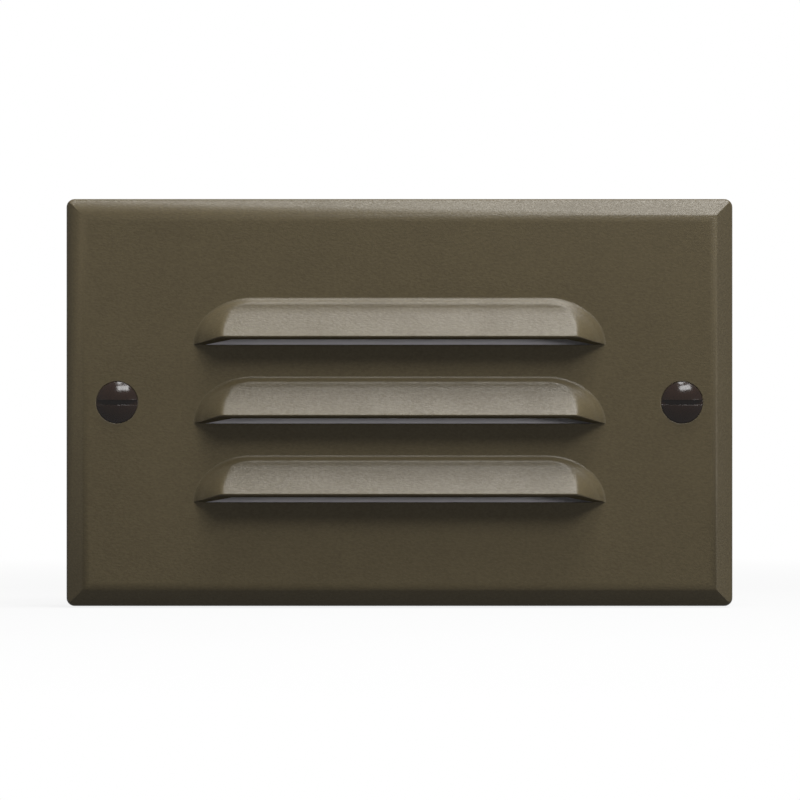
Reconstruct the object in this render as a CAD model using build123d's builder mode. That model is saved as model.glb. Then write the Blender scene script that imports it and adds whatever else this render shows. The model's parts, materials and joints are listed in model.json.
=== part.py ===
from build123d import *
import os
from math import atan, cos, radians, sin, tan

# Louvred step light for a single-gang wall box.
# X runs along the plate, Z is up, the front faces -Y and the wall plane is y = 0.
# Every "height" is a distance in front of the wall plane. Negative heights lie in the wall box.

# Faceplate: a shallow cast tray, open at the back, with a bevelled front edge
plate_width = 114.3
plate_height = 69.85
plate_depth = 7.5
plate_corner_radius = 1.4
field_wall = 2.0
rim_wall = 4.0
cavity_corner_radius = 2.5
bevel_width = 3.3
bevel_depth = 2.3
bevel_round = 2.6
plate_edge_round = 0.7
plate_gasket_thickness = 2.0
plate_gasket_setback = 0.6

# Hoods: a rounded shoulder, then a ramp up to the lip, with the underside open
hood_count = 3
hood_field_margin = 2.5
hood_lens_margin = 2.3
middle_lip_z = -2.4
hood_top = 7.3
hood_corner_radius = 7.0
hood_projection = 4.5
hood_wall = 1.3
slot_inset = 1.9
shoulder_height = 1.1
shoulder_draft = 42.0
shoulder_round = 0.8
shoulder_shelf = 0.9
cheek_draft = 45.0
ramp_root = 0.5
lip_thickness = 0.35
mouth_drop = 1.2

# Face screws: oval heads in countersinks, a groove for the retaining ring, threaded tip
face_screw_inset = 8.73
face_screw_length = 11.1
face_screw_radius = 1.75
screw_head_radius = 3.55
screw_head_dome = 1.15
screw_cone_angle = 82.0
screw_slot_width = 0.85
screw_slot_depth = 1.2
screw_hole_clearance = 0.25
head_seat_clearance = 0.12
thread_clearance = 0.06
thread_pitch = 0.79375
screw_free_turns = 4
ring_thickness = 0.8
ring_outer_radius = 3.7
ring_groove_radius = 1.35
ring_clearance = 0.06
ring_side_clearance = 0.3
ring_stop_clearance = 0.2
ring_lift = 0.3
screw_boss_radius = 5.5
screw_boss_relief = 0.5

# Lens, its seal and its clips, on the back of the faceplate
lens_margin_x = 3.5
lens_margin_z = 2.5
lens_thickness = 2.5
lens_corner_radius = 2.0
lens_gasket_thickness = 0.8
lens_gasket_width = 3.0
clip_thickness = 0.6
clip_width = 6.0
clip_reach = 2.0
clip_inset = 6.5
clip_post_gap = 0.9
clip_post_size = 5.2
clip_screw_radius = 1.05
clip_screw_length = 2.8
clip_head_radius = 2.3
clip_head_height = 1.2

# Mounting strap
yoke_thickness = 1.5
yoke_plate_gap_x = 1.15
yoke_plate_gap_z = 2.725
yoke_end_height = 22.0
yoke_frame_margin = 1.2
yoke_corner_cut = 1.5
window_clearance = 0.4
window_web = 3.97
box_screw_offset = 6.75
box_slot_width = 4.2
box_slot_length = 6.6
ground_ear_reach = 4.8
ground_ear_drop = 5.2
ground_ear_size = 9.2
ground_screw_radius = 2.0
ground_head_radius = 3.6
ground_head_height = 2.2

# Housing: flange, ribbed body, light chamber in front and driver compartment behind its floor
body_depth = 33.5
body_corner_radius = 3.0
body_wall = 2.0
rib_height = 2.0
rib_thickness = 1.4
rib_count = 9
rib_pitch = 6.8
flange_thickness = 1.5
flange_margin_x = 2.5
flange_margin_z = 8.0
flange_corner_radius = 3.0
chamber_depth = 15.0
chamber_corner_radius = 2.0
floor_thickness = 3.0
yoke_screw_inset_x = 10.5
yoke_screw_inset_z = 2.6
yoke_screw_radius = 1.4
yoke_head_radius = 2.3
yoke_head_height = 1.2
chamber_seal_width = 2.4
seal_setback = 0.4
seal_gap = 0.3

# Light engine
thermal_pad_thickness = 0.5
pad_lead_gap = 4.5
pad_screw_gap = 0.6
led_board_margin = 8.5
led_board_thickness = 1.6
led_count = 5
led_size = 3.0
led_height = 0.8
led_window = 2.2
led_window_depth = 0.25
led_screw_inset = 2.9
led_screw_radius = 1.2
led_head_radius = 2.0
led_head_height = 1.1
led_screw_grip = 2.2
reflector_wall = 0.8
reflector_gap = 0.7
reflector_foot_lift = 0.2
reflector_rim = 1.0
lead_radius = 0.65
lead_spacing = 2.6
lead_reach_share = 0.64
lead_bend = 1.3
lead_sides = 6
lead_inset = 2.5
lead_led_gap = 5.0
bushing_wall = 0.9
bushing_flange = 0.9
bushing_flange_thickness = 0.7
lead_clearance = 0.15

# Driver
driver_board_gap_x = 0.3
driver_board_gap_z = 3.0
driver_board_thickness = 1.6
driver_standoff = 3.2
driver_post_size = 4.8
driver_screw_inset_x = 4.0
driver_screw_inset_z = 3.5
driver_screw_radius = 1.2
driver_head_radius = 2.0
driver_head_height = 1.1
driver_screw_grip = 2.6
insulator_thickness = 0.4
insulator_gap = 0.6
inductor_x = -12.0
inductor_size = 11.0
inductor_cover_gap = 4.5
inductor_chamfer = 1.6
capacitor_x = 11.0
capacitor_margin = 2.0
capacitor_radius = 4.0
capacitor_cover_gap = 2.0
rectifier_margin = 2.5
rectifier_width = 7.5
rectifier_height = 6.0
rectifier_thickness = 2.6
chip_x = 11.0
chip_margin = 6.0
chip_width = 5.0
chip_height = 4.0
chip_thickness = 1.6
terminal_margin = 1.0
terminal_width = 10.2
terminal_depth = 8.0
terminal_cover_gap = 3.1
terminal_opening = 3.2
terminal_screw_recess = 0.6

# Rear cover
rear_gasket_thickness = 0.8
rear_cover_thickness = 2.5
cover_screw_inset = 5.1
cover_screw_radius = 1.2
cover_head_radius = 2.2
cover_head_height = 1.3
cover_screw_grip = 6.0
grommet_bore_radius = 3.2
grommet_wall = 1.7
grommet_flange = 2.2
grommet_flange_thickness = 1.6
hole_clearance = 0.1
pilot_clearance = 0.06
small_head_sides = 6
small_shank_sides = 8

# Heights of the mating faces, counted forward from the wall plane
rim_back = plate_gasket_thickness
field_height = rim_back + plate_depth
field_back = field_height - field_wall
cavity_width = plate_width - 2 * rim_wall
cavity_height = plate_height - 2 * rim_wall
face_screw_spacing = plate_width - 2 * face_screw_inset
box_screw_spacing = face_screw_spacing - 2 * box_screw_offset
window_width = box_screw_spacing - box_slot_length - 2 * window_web
body_width = window_width - 2 * window_clearance
yoke_length = cavity_width - 2 * yoke_plate_gap_x
yoke_frame_height = cavity_height - 2 * yoke_plate_gap_z
flange_height = yoke_frame_height - 2 * yoke_frame_margin
body_height = flange_height - 2 * flange_margin_z
lens_width = body_width + 2 * lens_margin_x
lens_height = body_height + 2 * lens_margin_z
hood_half_width = lens_width / 2 - hood_lens_margin
hood_pitch = (lens_height - hood_field_margin) / hood_count
lens_front = field_back - lens_gasket_thickness
lens_back = lens_front - lens_thickness
flange_front = yoke_thickness + flange_thickness
chamber_floor = flange_front - chamber_depth
floor_back = chamber_floor - floor_thickness
body_back = flange_front - body_depth
board_front = chamber_floor + thermal_pad_thickness + led_board_thickness
driver_front = floor_back - driver_standoff
driver_back = driver_front - driver_board_thickness
cover_front = body_back - rear_gasket_thickness
cover_back = cover_front - rear_cover_thickness
inductor_height = driver_back - cover_front - inductor_cover_gap
capacitor_height = driver_back - cover_front - capacitor_cover_gap
terminal_height = driver_back - cover_front - terminal_cover_gap
screw_tip = field_height - face_screw_length
screw_travel = thread_pitch * screw_free_turns
ring_back = yoke_thickness + ring_lift
ring_pocket_floor = ring_back + ring_thickness + screw_travel + ring_stop_clearance
clip_post_x = lens_width / 2 + clip_post_gap + clip_post_size / 2
clip_z = lens_height / 2 - clip_inset
lip_heights = [middle_lip_z + hood_pitch * (i - (hood_count - 1) / 2) for i in range(hood_count)]
window_height = body_height + 2 * rib_height + 2 * window_clearance
flange_width = body_width + 2 * flange_margin_x
yoke_frame_width = flange_width + 2 * yoke_frame_margin
yoke_screw_x = flange_width / 2 - yoke_screw_inset_x
yoke_screw_z = flange_height / 2 - yoke_screw_inset_z
ground_ear_x = -yoke_frame_width / 2 - ground_ear_reach
ground_ear_z = yoke_frame_height / 2 - ground_ear_drop
cover_screw_x = body_width / 2 - cover_screw_inset
cover_screw_z = body_height / 2 - cover_screw_inset
chamber_width = body_width - 2 * body_wall
chamber_height = body_height - 2 * body_wall
cover_post_size = 2 * (cover_screw_inset - body_wall)
led_board_width = chamber_width - 2 * led_board_margin
led_board_height = chamber_height - 2 * led_board_margin
lead_x = led_board_width / 2 - lead_inset
lead_reach = lead_reach_share * (led_board_height - lead_spacing) / 2
led_pitch = 2 * (lead_x - lead_led_gap) / (led_count - 1)
led_screw_x = 1.5 * led_pitch
led_screw_z = led_board_height / 2 - led_screw_inset
thermal_pad_width = led_board_width / 2 + lead_x - pad_lead_gap
thermal_pad_height = 2 * (led_screw_z - led_screw_radius - pad_screw_gap)
thermal_pad_x = (thermal_pad_width - led_board_width) / 2
driver_board_width = 2 * cover_screw_x - cover_post_size - 2 * driver_board_gap_x
driver_board_height = chamber_height - 2 * driver_board_gap_z
driver_screw_x = driver_board_width / 2 - driver_screw_inset_x
driver_screw_z = driver_board_height / 2 - driver_screw_inset_z
insulator_width = 2 * (driver_screw_x - insulator_gap) - driver_post_size
capacitor_z = driver_board_height / 2 - capacitor_radius - capacitor_margin
rectifier_z = driver_board_height / 2 - rectifier_height / 2 - rectifier_margin
chip_z = chip_height / 2 + chip_margin - driver_board_height / 2
terminal_z = terminal_depth / 2 + terminal_margin - driver_board_height / 2
led_screw_points = [(-led_screw_x, led_screw_z), (led_screw_x, -led_screw_z)]
driver_screw_points = [(-driver_screw_x, driver_screw_z), (driver_screw_x, -driver_screw_z)]
lead_way_width = 2 * (lead_radius + lead_clearance)
lead_way_height = lead_spacing + lead_way_width
bushing_width = lead_way_width + 2 * bushing_wall
bushing_height = lead_way_height + 2 * bushing_wall
bushing_flange_width = bushing_width + 2 * bushing_flange
bushing_flange_height = bushing_height + 2 * bushing_flange

os.makedirs("parts", exist_ok=True)


def front(height):
    """Plane parallel to the wall at a height in front of it: local x is X, local y is Z."""
    return Plane.XZ.offset(height)


def save(part, name):
    """Label a finished piece and write it to its own file."""
    part.label = name
    export_step(part, f"parts/{name}.step")


def corners(x, z):
    """The four points at plus and minus x and z."""
    return [(-x, -z), (x, -z), (-x, z), (x, z)]


def pilot_holes(points, radius):
    """Many-sided holes for small screws, sketched in the plane of the builder that calls it."""
    with Locations(*points):
        RegularPolygon(radius, small_shank_sides, mode=Mode.SUBTRACT)


def small_screws(points, seat, way, head_radius, head_height, shank_radius, grip):
    """Hexagon-headed screws with their heads on a seat, in front of it (way 1) or behind it (way -1)."""
    with BuildPart() as screws:
        with BuildSketch(front(seat)):
            with Locations(*points):
                RegularPolygon(head_radius, small_head_sides)
        extrude(amount=way * head_height)
        with BuildSketch(front(seat)):
            with Locations(*points):
                RegularPolygon(shank_radius, small_shank_sides)
        extrude(amount=-way * grip)
    return screws.part


def hood_outline(height, half_width, top, corner):
    """Front outline of a hood at a height, with both top corners rounded."""
    with BuildSketch(front(height)) as outline:
        with BuildLine():
            Polyline(
                (-half_width, hood_foot),
                (-half_width, top),
                (half_width, top),
                (half_width, hood_foot),
                close=True,
            )
        make_face()
        fillet(outline.vertices().group_by(Axis.Y)[-1], corner)
    return outline.sketch


# One hood with its lip at z = 0: a shoulder, and on its shelf a block whose cheeks draw in towards the
# front, cut off by a ramp from the shelf up to the lip. Both run past the mouth plane, which cuts them off.
lip_front = field_height + hood_projection
shelf_height = field_height + shoulder_height
shelf_inset = shoulder_height * tan(radians(shoulder_draft)) + shoulder_shelf
shelf_z = hood_top - shelf_inset
hood_foot = -3 * hood_projection
ramp_height = lip_front - shelf_height
ramp_slope = (shelf_z - lip_thickness) / ramp_height
ramp_angle = atan(ramp_slope)
ramp_normal = (0, -sin(ramp_angle), cos(ramp_angle))
cheek_inset = ramp_height * tan(radians(cheek_draft))
with BuildPart() as hood_ramp:
    extrude(
        hood_outline(
            shelf_height - ramp_root,
            hood_half_width - shelf_inset,
            shelf_z,
            hood_corner_radius - shelf_inset,
        ),
        amount=ramp_height + ramp_root,
    )
    lip_face = hood_ramp.faces().sort_by(Axis.Y)[0]
    chamfer(lip_face.edges(), length=cheek_inset, length2=ramp_height, reference=lip_face)
    split(bisect_by=Plane(origin=(0, -lip_front, lip_thickness), z_dir=ramp_normal), keep=Keep.BOTTOM)

with BuildPart() as hood:
    extrude(
        hood_outline(field_height, hood_half_width, hood_top, hood_corner_radius),
        amount=shoulder_height,
        taper=shoulder_draft,
    )
    shoulder_edges = hood.faces().sort_by(Axis.Y)[0].edges()
    fillet(shoulder_edges.filter_by(lambda edge: edge.center().Z > hood_foot / 2), shoulder_round)
    add(hood_ramp.part)
    # The mouth plane runs from the lip down and back to the lower edge of the slot.
    with BuildSketch(Plane.YZ) as mouth_profile:
        with BuildLine():
            Polyline(
                (-lip_front - 1, mouth_drop / hood_projection),
                (-field_height + 1, -mouth_drop - mouth_drop / hood_projection),
                (-field_height + 1, 2 * hood_foot),
                (-lip_front - 1, 2 * hood_foot),
                close=True,
            )
        make_face()
    extrude(mouth_profile.sketch, amount=hood_half_width + 1, both=True, mode=Mode.SUBTRACT)

# The hollow under one hood: a straight slot through the field whose ends draw in towards the lip, cut off
# by a ramp that keeps the hood's wall.
hollow_front = lip_front - hood_wall * sin(ramp_angle)
hollow_lip = lip_thickness - hood_wall * cos(ramp_angle)
hollow_top = hollow_lip + (hollow_front - field_height) * ramp_slope
slot_half_width = hood_half_width - slot_inset
hollow_end = hood_half_width - shelf_inset - cheek_inset - hood_wall
with BuildPart() as hood_hollow:
    with BuildSketch(Plane.XY.offset(-mouth_drop)):
        with BuildLine():
            Polyline(
                (-slot_half_width, -field_back),
                (-slot_half_width, -field_height),
                (-hollow_end, -hollow_front),
                (hollow_end, -hollow_front),
                (slot_half_width, -field_height),
                (slot_half_width, -field_back),
                close=True,
            )
        make_face()
    extrude(amount=hollow_top + mouth_drop)
    split(bisect_by=Plane(origin=(0, -hollow_front, hollow_lip), z_dir=ramp_normal), keep=Keep.BOTTOM)

# Faceplate: upright sides, mitred bevel up to the flat field, hollow back, hoods, bosses and clip posts
with BuildPart() as faceplate:
    with BuildSketch(front(rim_back)):
        Rectangle(plate_width, plate_height)
    extrude(amount=plate_depth)
    block_face = faceplate.faces().sort_by(Axis.Y)[0]
    chamfer(block_face.edges(), length=bevel_width, length2=bevel_depth, reference=block_face)
    fillet(faceplate.faces().sort_by(Axis.Y)[0].edges(), bevel_round)
    fillet(faceplate.edges().filter_by(Axis.Y), plate_corner_radius)
    bevel_foot = bevel_depth - field_height
    fillet(faceplate.edges().filter_by_position(Axis.Y, bevel_foot - 0.1, bevel_foot + 0.1), plate_edge_round)
    with BuildSketch(front(rim_back)):
        RectangleRounded(cavity_width, cavity_height, cavity_corner_radius)
    extrude(amount=plate_depth - field_wall, mode=Mode.SUBTRACT)
    # Boss behind each face screw, merged with the rim
    with BuildSketch(front(yoke_thickness + screw_boss_relief)):
        with GridLocations(face_screw_spacing, 0, 2, 1):
            Circle(screw_boss_radius)
    extrude(amount=field_back - yoke_thickness - screw_boss_relief)
    # Posts for the lens clips, with their pilot holes
    with BuildSketch(front(lens_back)):
        with Locations(*corners(clip_post_x, clip_z)):
            Rectangle(clip_post_size, clip_post_size)
    extrude(amount=field_back - lens_back)
    with BuildSketch(front(lens_back)):
        with Locations(*corners(clip_post_x, clip_z)):
            RegularPolygon(clip_screw_radius + pilot_clearance, small_shank_sides)
    extrude(amount=clip_screw_length + pilot_clearance, mode=Mode.SUBTRACT)
    for lip_z in lip_heights:
        with Locations((0, 0, lip_z)):
            add(hood.part)
    for lip_z in lip_heights:
        with Locations((0, 0, lip_z)):
            add(hood_hollow.part, mode=Mode.SUBTRACT)
    # Countersunk clearance hole and ring pocket for each face screw
    with Locations(front(field_height)):
        with GridLocations(face_screw_spacing, 0, 2, 1):
            CounterSinkHole(
                radius=face_screw_radius + screw_hole_clearance,
                counter_sink_radius=screw_head_radius + head_seat_clearance,
                counter_sink_angle=screw_cone_angle,
            )
    with BuildSketch(front(yoke_thickness)):
        with GridLocations(face_screw_spacing, 0, 2, 1):
            Circle(ring_outer_radius + ring_side_clearance)
    extrude(amount=ring_pocket_floor - yoke_thickness, mode=Mode.SUBTRACT)
save(faceplate.part, "faceplate")

# Foam seal bonded under the plate's rim
with BuildPart() as plate_gasket:
    with BuildSketch(front(0)):
        Rectangle(plate_width - 2 * plate_gasket_setback, plate_height - 2 * plate_gasket_setback)
        RectangleRounded(cavity_width, cavity_height, cavity_corner_radius, mode=Mode.SUBTRACT)
    extrude(amount=plate_gasket_thickness)
    outer_corners = plate_gasket.edges().filter_by(Axis.Y).group_by(SortBy.DISTANCE)[-1]
    fillet(outer_corners, plate_corner_radius)
save(plate_gasket.part, "plate_gasket")

# Lens seal: an oblong ring between the field and the lens
with BuildPart() as lens_gasket:
    with BuildSketch(front(lens_front)):
        RectangleRounded(lens_width, lens_height, lens_corner_radius)
        Rectangle(lens_width - 2 * lens_gasket_width, lens_height - 2 * lens_gasket_width, mode=Mode.SUBTRACT)
    extrude(amount=lens_gasket_thickness)
save(lens_gasket.part, "lens_gasket")

with BuildPart() as diffuser_lens:
    with BuildSketch(front(lens_back)):
        RectangleRounded(lens_width, lens_height, lens_corner_radius)
    extrude(amount=lens_thickness)
save(diffuser_lens.part, "diffuser_lens")

# Four flat clips, each from its post to just over the lens's back edge
clip_length = clip_reach + clip_post_gap + clip_post_size
clip_x = clip_post_x + (clip_post_size - clip_length) / 2
with BuildPart() as lens_clips:
    with BuildSketch(front(lens_back - clip_thickness)):
        with Locations(*corners(clip_x, clip_z)):
            Rectangle(clip_length, clip_width)
        pilot_holes(corners(clip_post_x, clip_z), clip_screw_radius + hole_clearance)
    extrude(amount=clip_thickness)
save(lens_clips.part, "lens_clips")

lens_clip_screws = small_screws(
    points=corners(clip_post_x, clip_z),
    seat=lens_back - clip_thickness,
    way=-1,
    head_radius=clip_head_radius,
    head_height=clip_head_height,
    shank_radius=clip_screw_radius,
    grip=clip_thickness + clip_screw_length,
)
save(lens_clip_screws, "lens_clip_screws")

# Face screws turn in their rings, and the rings ride out with them
cone_height = (screw_head_radius - face_screw_radius) / tan(radians(screw_cone_angle / 2))
ring_front = ring_back + ring_thickness
dome_radius = (screw_head_radius**2 + screw_head_dome**2) / (2 * screw_head_dome)
for side, screw_x in (("left", -face_screw_spacing / 2), ("right", face_screw_spacing / 2)):
    with BuildPart() as face_screw:
        with BuildSketch(Plane.XY):
            with BuildLine():
                rim = (screw_x + screw_head_radius, -field_height)
                crown = (screw_x, -field_height - screw_head_dome)
                RadiusArc(rim, crown, dome_radius)
                Polyline(
                    crown,
                    (screw_x, -screw_tip),
                    (screw_x + face_screw_radius, -screw_tip),
                    (screw_x + face_screw_radius, ring_clearance - ring_back),
                    (screw_x + ring_groove_radius, ring_clearance - ring_back),
                    (screw_x + ring_groove_radius, -ring_front - ring_clearance),
                    (screw_x + face_screw_radius, -ring_front - ring_clearance),
                    (screw_x + face_screw_radius, cone_height - field_height),
                    rim,
                )
            make_face()
        revolve(axis=Axis((screw_x, 0, 0), (0, 1, 0)))
        with BuildSketch(front(field_height + screw_head_dome)):
            with Locations((screw_x, 0)):
                Rectangle(3 * screw_head_radius, screw_slot_width)
        extrude(amount=-screw_slot_depth, mode=Mode.SUBTRACT)
    save(face_screw.part, f"{side}_face_screw")

    with BuildPart() as retaining_ring:
        with BuildSketch(front(ring_back)):
            with Locations((screw_x, 0)):
                Circle(ring_outer_radius)
                Circle(ring_groove_radius + ring_clearance, mode=Mode.SUBTRACT)
            with Locations((screw_x, -ring_outer_radius)):
                Rectangle(2 * ring_groove_radius, 2 * ring_outer_radius, mode=Mode.SUBTRACT)
        extrude(amount=ring_thickness)
    save(retaining_ring.part, f"{side}_retaining_ring")

# Strap: a window frame round the housing, two slotted ends and an ear for the ground screw
with BuildPart() as mounting_yoke:
    with BuildSketch(front(0)) as strap_profile:
        Rectangle(yoke_frame_width, yoke_frame_height)
        Rectangle(yoke_length, yoke_end_height)
        with Locations((ground_ear_x / 2, ground_ear_z)):
            Rectangle(ground_ear_size - ground_ear_x, ground_ear_size)
        chamfer(strap_profile.vertices(), yoke_corner_cut)
        Rectangle(window_width, window_height, mode=Mode.SUBTRACT)
        with GridLocations(box_screw_spacing, 0, 2, 1):
            SlotOverall(box_slot_length, box_slot_width, mode=Mode.SUBTRACT)
        with GridLocations(face_screw_spacing, 0, 2, 1):
            Circle(face_screw_radius + thread_clearance, mode=Mode.SUBTRACT)
        pilot_holes(corners(yoke_screw_x, yoke_screw_z), yoke_screw_radius + pilot_clearance)
        pilot_holes([(ground_ear_x, ground_ear_z)], ground_screw_radius + pilot_clearance)
    extrude(amount=yoke_thickness)
save(mounting_yoke.part, "mounting_yoke")

ground_screw = small_screws(
    points=[(ground_ear_x, ground_ear_z)],
    seat=yoke_thickness,
    way=1,
    head_radius=ground_head_radius,
    head_height=ground_head_height,
    shank_radius=ground_screw_radius,
    grip=yoke_thickness - pilot_clearance,
)
save(ground_screw, "ground_screw")

# Housing: flange and ribbed body, light chamber in front of the floor, driver compartment behind it
with BuildPart() as housing:
    with BuildSketch(front(yoke_thickness)):
        RectangleRounded(flange_width, flange_height, flange_corner_radius)
    extrude(amount=flange_thickness)
    with BuildSketch(front(yoke_thickness)):
        RectangleRounded(body_width, body_height, body_corner_radius)
        with GridLocations(rib_pitch, 0, rib_count, 1):
            Rectangle(rib_thickness, body_height + 2 * rib_height)
    extrude(amount=body_back - yoke_thickness)
    with BuildSketch(front(flange_front)):
        RectangleRounded(chamber_width, chamber_height, chamber_corner_radius)
    extrude(amount=-chamber_depth, mode=Mode.SUBTRACT)
    with BuildSketch(front(body_back)):
        RectangleRounded(chamber_width, chamber_height, chamber_corner_radius)
    extrude(amount=floor_back - body_back, mode=Mode.SUBTRACT)
    # Corner posts for the cover screws and standoffs for the driver board
    with BuildSketch(front(body_back)):
        with Locations(*corners(cover_screw_x, cover_screw_z)):
            Rectangle(cover_post_size, cover_post_size)
    extrude(amount=floor_back - body_back)
    with BuildSketch(front(driver_front)):
        with Locations(*corners(driver_screw_x, driver_screw_z)):
            Rectangle(driver_post_size, driver_post_size)
    extrude(amount=driver_standoff)
    # Pilot holes for every screw that the casting takes, and the lead hole through the floor
    with BuildSketch(front(body_back)):
        with Locations(*corners(cover_screw_x, cover_screw_z)):
            RegularPolygon(cover_screw_radius + pilot_clearance, small_shank_sides)
    extrude(amount=cover_screw_grip + pilot_clearance, mode=Mode.SUBTRACT)
    with BuildSketch(front(driver_front)):
        with Locations(*driver_screw_points):
            RegularPolygon(driver_screw_radius + pilot_clearance, small_shank_sides)
    extrude(amount=driver_screw_grip + pilot_clearance, mode=Mode.SUBTRACT)
    with BuildSketch(front(chamber_floor)):
        with Locations(*led_screw_points):
            RegularPolygon(led_screw_radius + pilot_clearance, small_shank_sides)
    extrude(amount=-led_screw_grip - pilot_clearance, mode=Mode.SUBTRACT)
    with BuildSketch(front(chamber_floor)):
        with Locations((lead_x, 0)):
            Rectangle(bushing_width + 2 * hole_clearance, bushing_height + 2 * hole_clearance)
    extrude(amount=-floor_thickness, mode=Mode.SUBTRACT)
    with BuildSketch(front(flange_front)):
        with Locations(*corners(yoke_screw_x, yoke_screw_z)):
            RegularPolygon(yoke_screw_radius + hole_clearance, small_shank_sides)
    extrude(amount=-flange_thickness, mode=Mode.SUBTRACT)
save(housing.part, "housing")

yoke_screws = small_screws(
    points=corners(yoke_screw_x, yoke_screw_z),
    seat=flange_front,
    way=1,
    head_radius=yoke_head_radius,
    head_height=yoke_head_height,
    shank_radius=yoke_screw_radius,
    grip=flange_front - pilot_clearance,
)
save(yoke_screws, "yoke_screws")

# Foam seal round the chamber mouth, just short of the lens
with BuildPart() as chamber_seal:
    with BuildSketch(front(flange_front)):
        seal_width = chamber_width + 2 * (seal_setback + chamber_seal_width)
        seal_height = chamber_height + 2 * (seal_setback + chamber_seal_width)
        RectangleRounded(seal_width, seal_height, chamber_corner_radius)
        Rectangle(
            seal_width - 2 * chamber_seal_width,
            seal_height - 2 * chamber_seal_width,
            mode=Mode.SUBTRACT,
        )
    extrude(amount=lens_back - seal_gap - flange_front)
save(chamber_seal.part, "chamber_seal")

# Light engine on the chamber floor
board_back = chamber_floor + thermal_pad_thickness
with BuildPart() as thermal_pad:
    with BuildSketch(front(chamber_floor)):
        with Locations((thermal_pad_x, 0)):
            Rectangle(thermal_pad_width, thermal_pad_height)
    extrude(amount=thermal_pad_thickness)
save(thermal_pad.part, "thermal_pad")

with BuildPart() as led_board:
    with BuildSketch(front(board_back)):
        Rectangle(led_board_width, led_board_height)
        pilot_holes(led_screw_points, led_screw_radius + hole_clearance)
        with Locations((lead_x, 0)):
            Rectangle(
                bushing_flange_width + 2 * hole_clearance,
                bushing_flange_height + 2 * hole_clearance,
                mode=Mode.SUBTRACT,
            )
    extrude(amount=led_board_thickness)
save(led_board.part, "led_board")

# Surface-mounted LEDs, each with a shallow window of phosphor
with BuildPart() as led_packages:
    with BuildSketch(front(board_front)):
        with GridLocations(led_pitch, 0, led_count, 1):
            Rectangle(led_size, led_size)
    extrude(amount=led_height)
    with BuildSketch(front(board_front + led_height)):
        with GridLocations(led_pitch, 0, led_count, 1):
            Rectangle(led_window, led_window)
    extrude(amount=-led_window_depth, mode=Mode.SUBTRACT)
save(led_packages.part, "led_packages")

led_board_screws = small_screws(
    points=led_screw_points,
    seat=board_front,
    way=1,
    head_radius=led_head_radius,
    head_height=led_head_height,
    shank_radius=led_screw_radius,
    grip=board_front - chamber_floor + led_screw_grip,
)
save(led_board_screws, "led_board_screws")

# Reflector: a thin tray whose walls slope in from a short rim at the chamber's mouth to the board
reflector_back = board_front + reflector_foot_lift
reflector_width = chamber_width - 2 * reflector_gap
reflector_height = chamber_height - 2 * reflector_gap
reflector_inset = (reflector_width - led_board_width) / 2 - reflector_wall
reflector_slope = flange_front - reflector_back - reflector_rim


def sloped_block(width, height):
    """Block from the chamber's mouth back to the board, with sloped walls behind the rim."""
    with BuildPart() as block:
        with BuildSketch(front(flange_front)):
            Rectangle(width, height)
        extrude(amount=reflector_back - flange_front)
        foot = block.faces().sort_by(Axis.Y)[-1]
        chamfer(foot.edges(), length=reflector_inset, length2=reflector_slope, reference=foot)
    return block.part


with BuildPart() as reflector:
    add(sloped_block(reflector_width, reflector_height))
    add(
        sloped_block(reflector_width - 2 * reflector_wall, reflector_height - 2 * reflector_wall),
        mode=Mode.SUBTRACT,
    )
save(reflector.part, "reflector")

# Bushing in the floor, and two leads that rise through it and bend over on to their pads on the board
with BuildPart() as lead_bushing:
    with BuildSketch(front(floor_back)):
        with Locations((lead_x, 0)):
            Rectangle(bushing_width, bushing_height)
    extrude(amount=floor_thickness)
    with BuildSketch(front(chamber_floor)):
        with Locations((lead_x, 0)):
            Rectangle(bushing_flange_width, bushing_flange_height)
    extrude(amount=bushing_flange_thickness)
    with BuildSketch(front(floor_back)):
        with Locations((lead_x, 0)):
            Rectangle(lead_way_width, lead_way_height)
    extrude(amount=floor_thickness + bushing_flange_thickness, mode=Mode.SUBTRACT)
save(lead_bushing.part, "lead_bushing")

for colour, way in (("red", 1), ("black", -1)):
    with BuildPart() as led_lead:
        lead_start = (lead_x, -driver_front, way * lead_spacing / 2)
        with BuildLine() as lead_path:
            FilletPolyline(
                lead_start,
                (lead_x, -board_front - lead_radius, way * lead_spacing / 2),
                (lead_x, -board_front - lead_radius, way * (lead_spacing / 2 + lead_reach)),
                radius=lead_bend,
            )
        with BuildSketch(Plane(lead_start, x_dir=(1, 0, 0), z_dir=(0, -1, 0))):
            RegularPolygon(lead_radius, lead_sides)
        sweep(path=lead_path.line)
    save(led_lead.part, f"led_lead_{colour}")

# Driver board on its standoffs, with an insulating sheet between them on the floor
with BuildPart() as insulating_sheet:
    with BuildSketch(front(floor_back - insulator_thickness)):
        Rectangle(insulator_width, driver_board_height)
    extrude(amount=insulator_thickness)
save(insulating_sheet.part, "insulating_sheet")

with BuildPart() as driver_board:
    with BuildSketch(front(driver_back)):
        Rectangle(driver_board_width, driver_board_height)
        pilot_holes(driver_screw_points, driver_screw_radius + hole_clearance)
    extrude(amount=driver_board_thickness)
save(driver_board.part, "driver_board")

driver_board_screws = small_screws(
    points=driver_screw_points,
    seat=driver_back,
    way=-1,
    head_radius=driver_head_radius,
    head_height=driver_head_height,
    shank_radius=driver_screw_radius,
    grip=driver_board_thickness + driver_screw_grip,
)
save(driver_board_screws, "driver_board_screws")

# Shielded inductor: a square block with its corners taken off
with BuildPart() as driver_inductor:
    with BuildSketch(front(driver_back)) as inductor_profile:
        with Locations((inductor_x, 0)):
            Rectangle(inductor_size, inductor_size)
        chamfer(inductor_profile.vertices(), inductor_chamfer)
    extrude(amount=-inductor_height)
save(driver_inductor.part, "driver_inductor")

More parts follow.
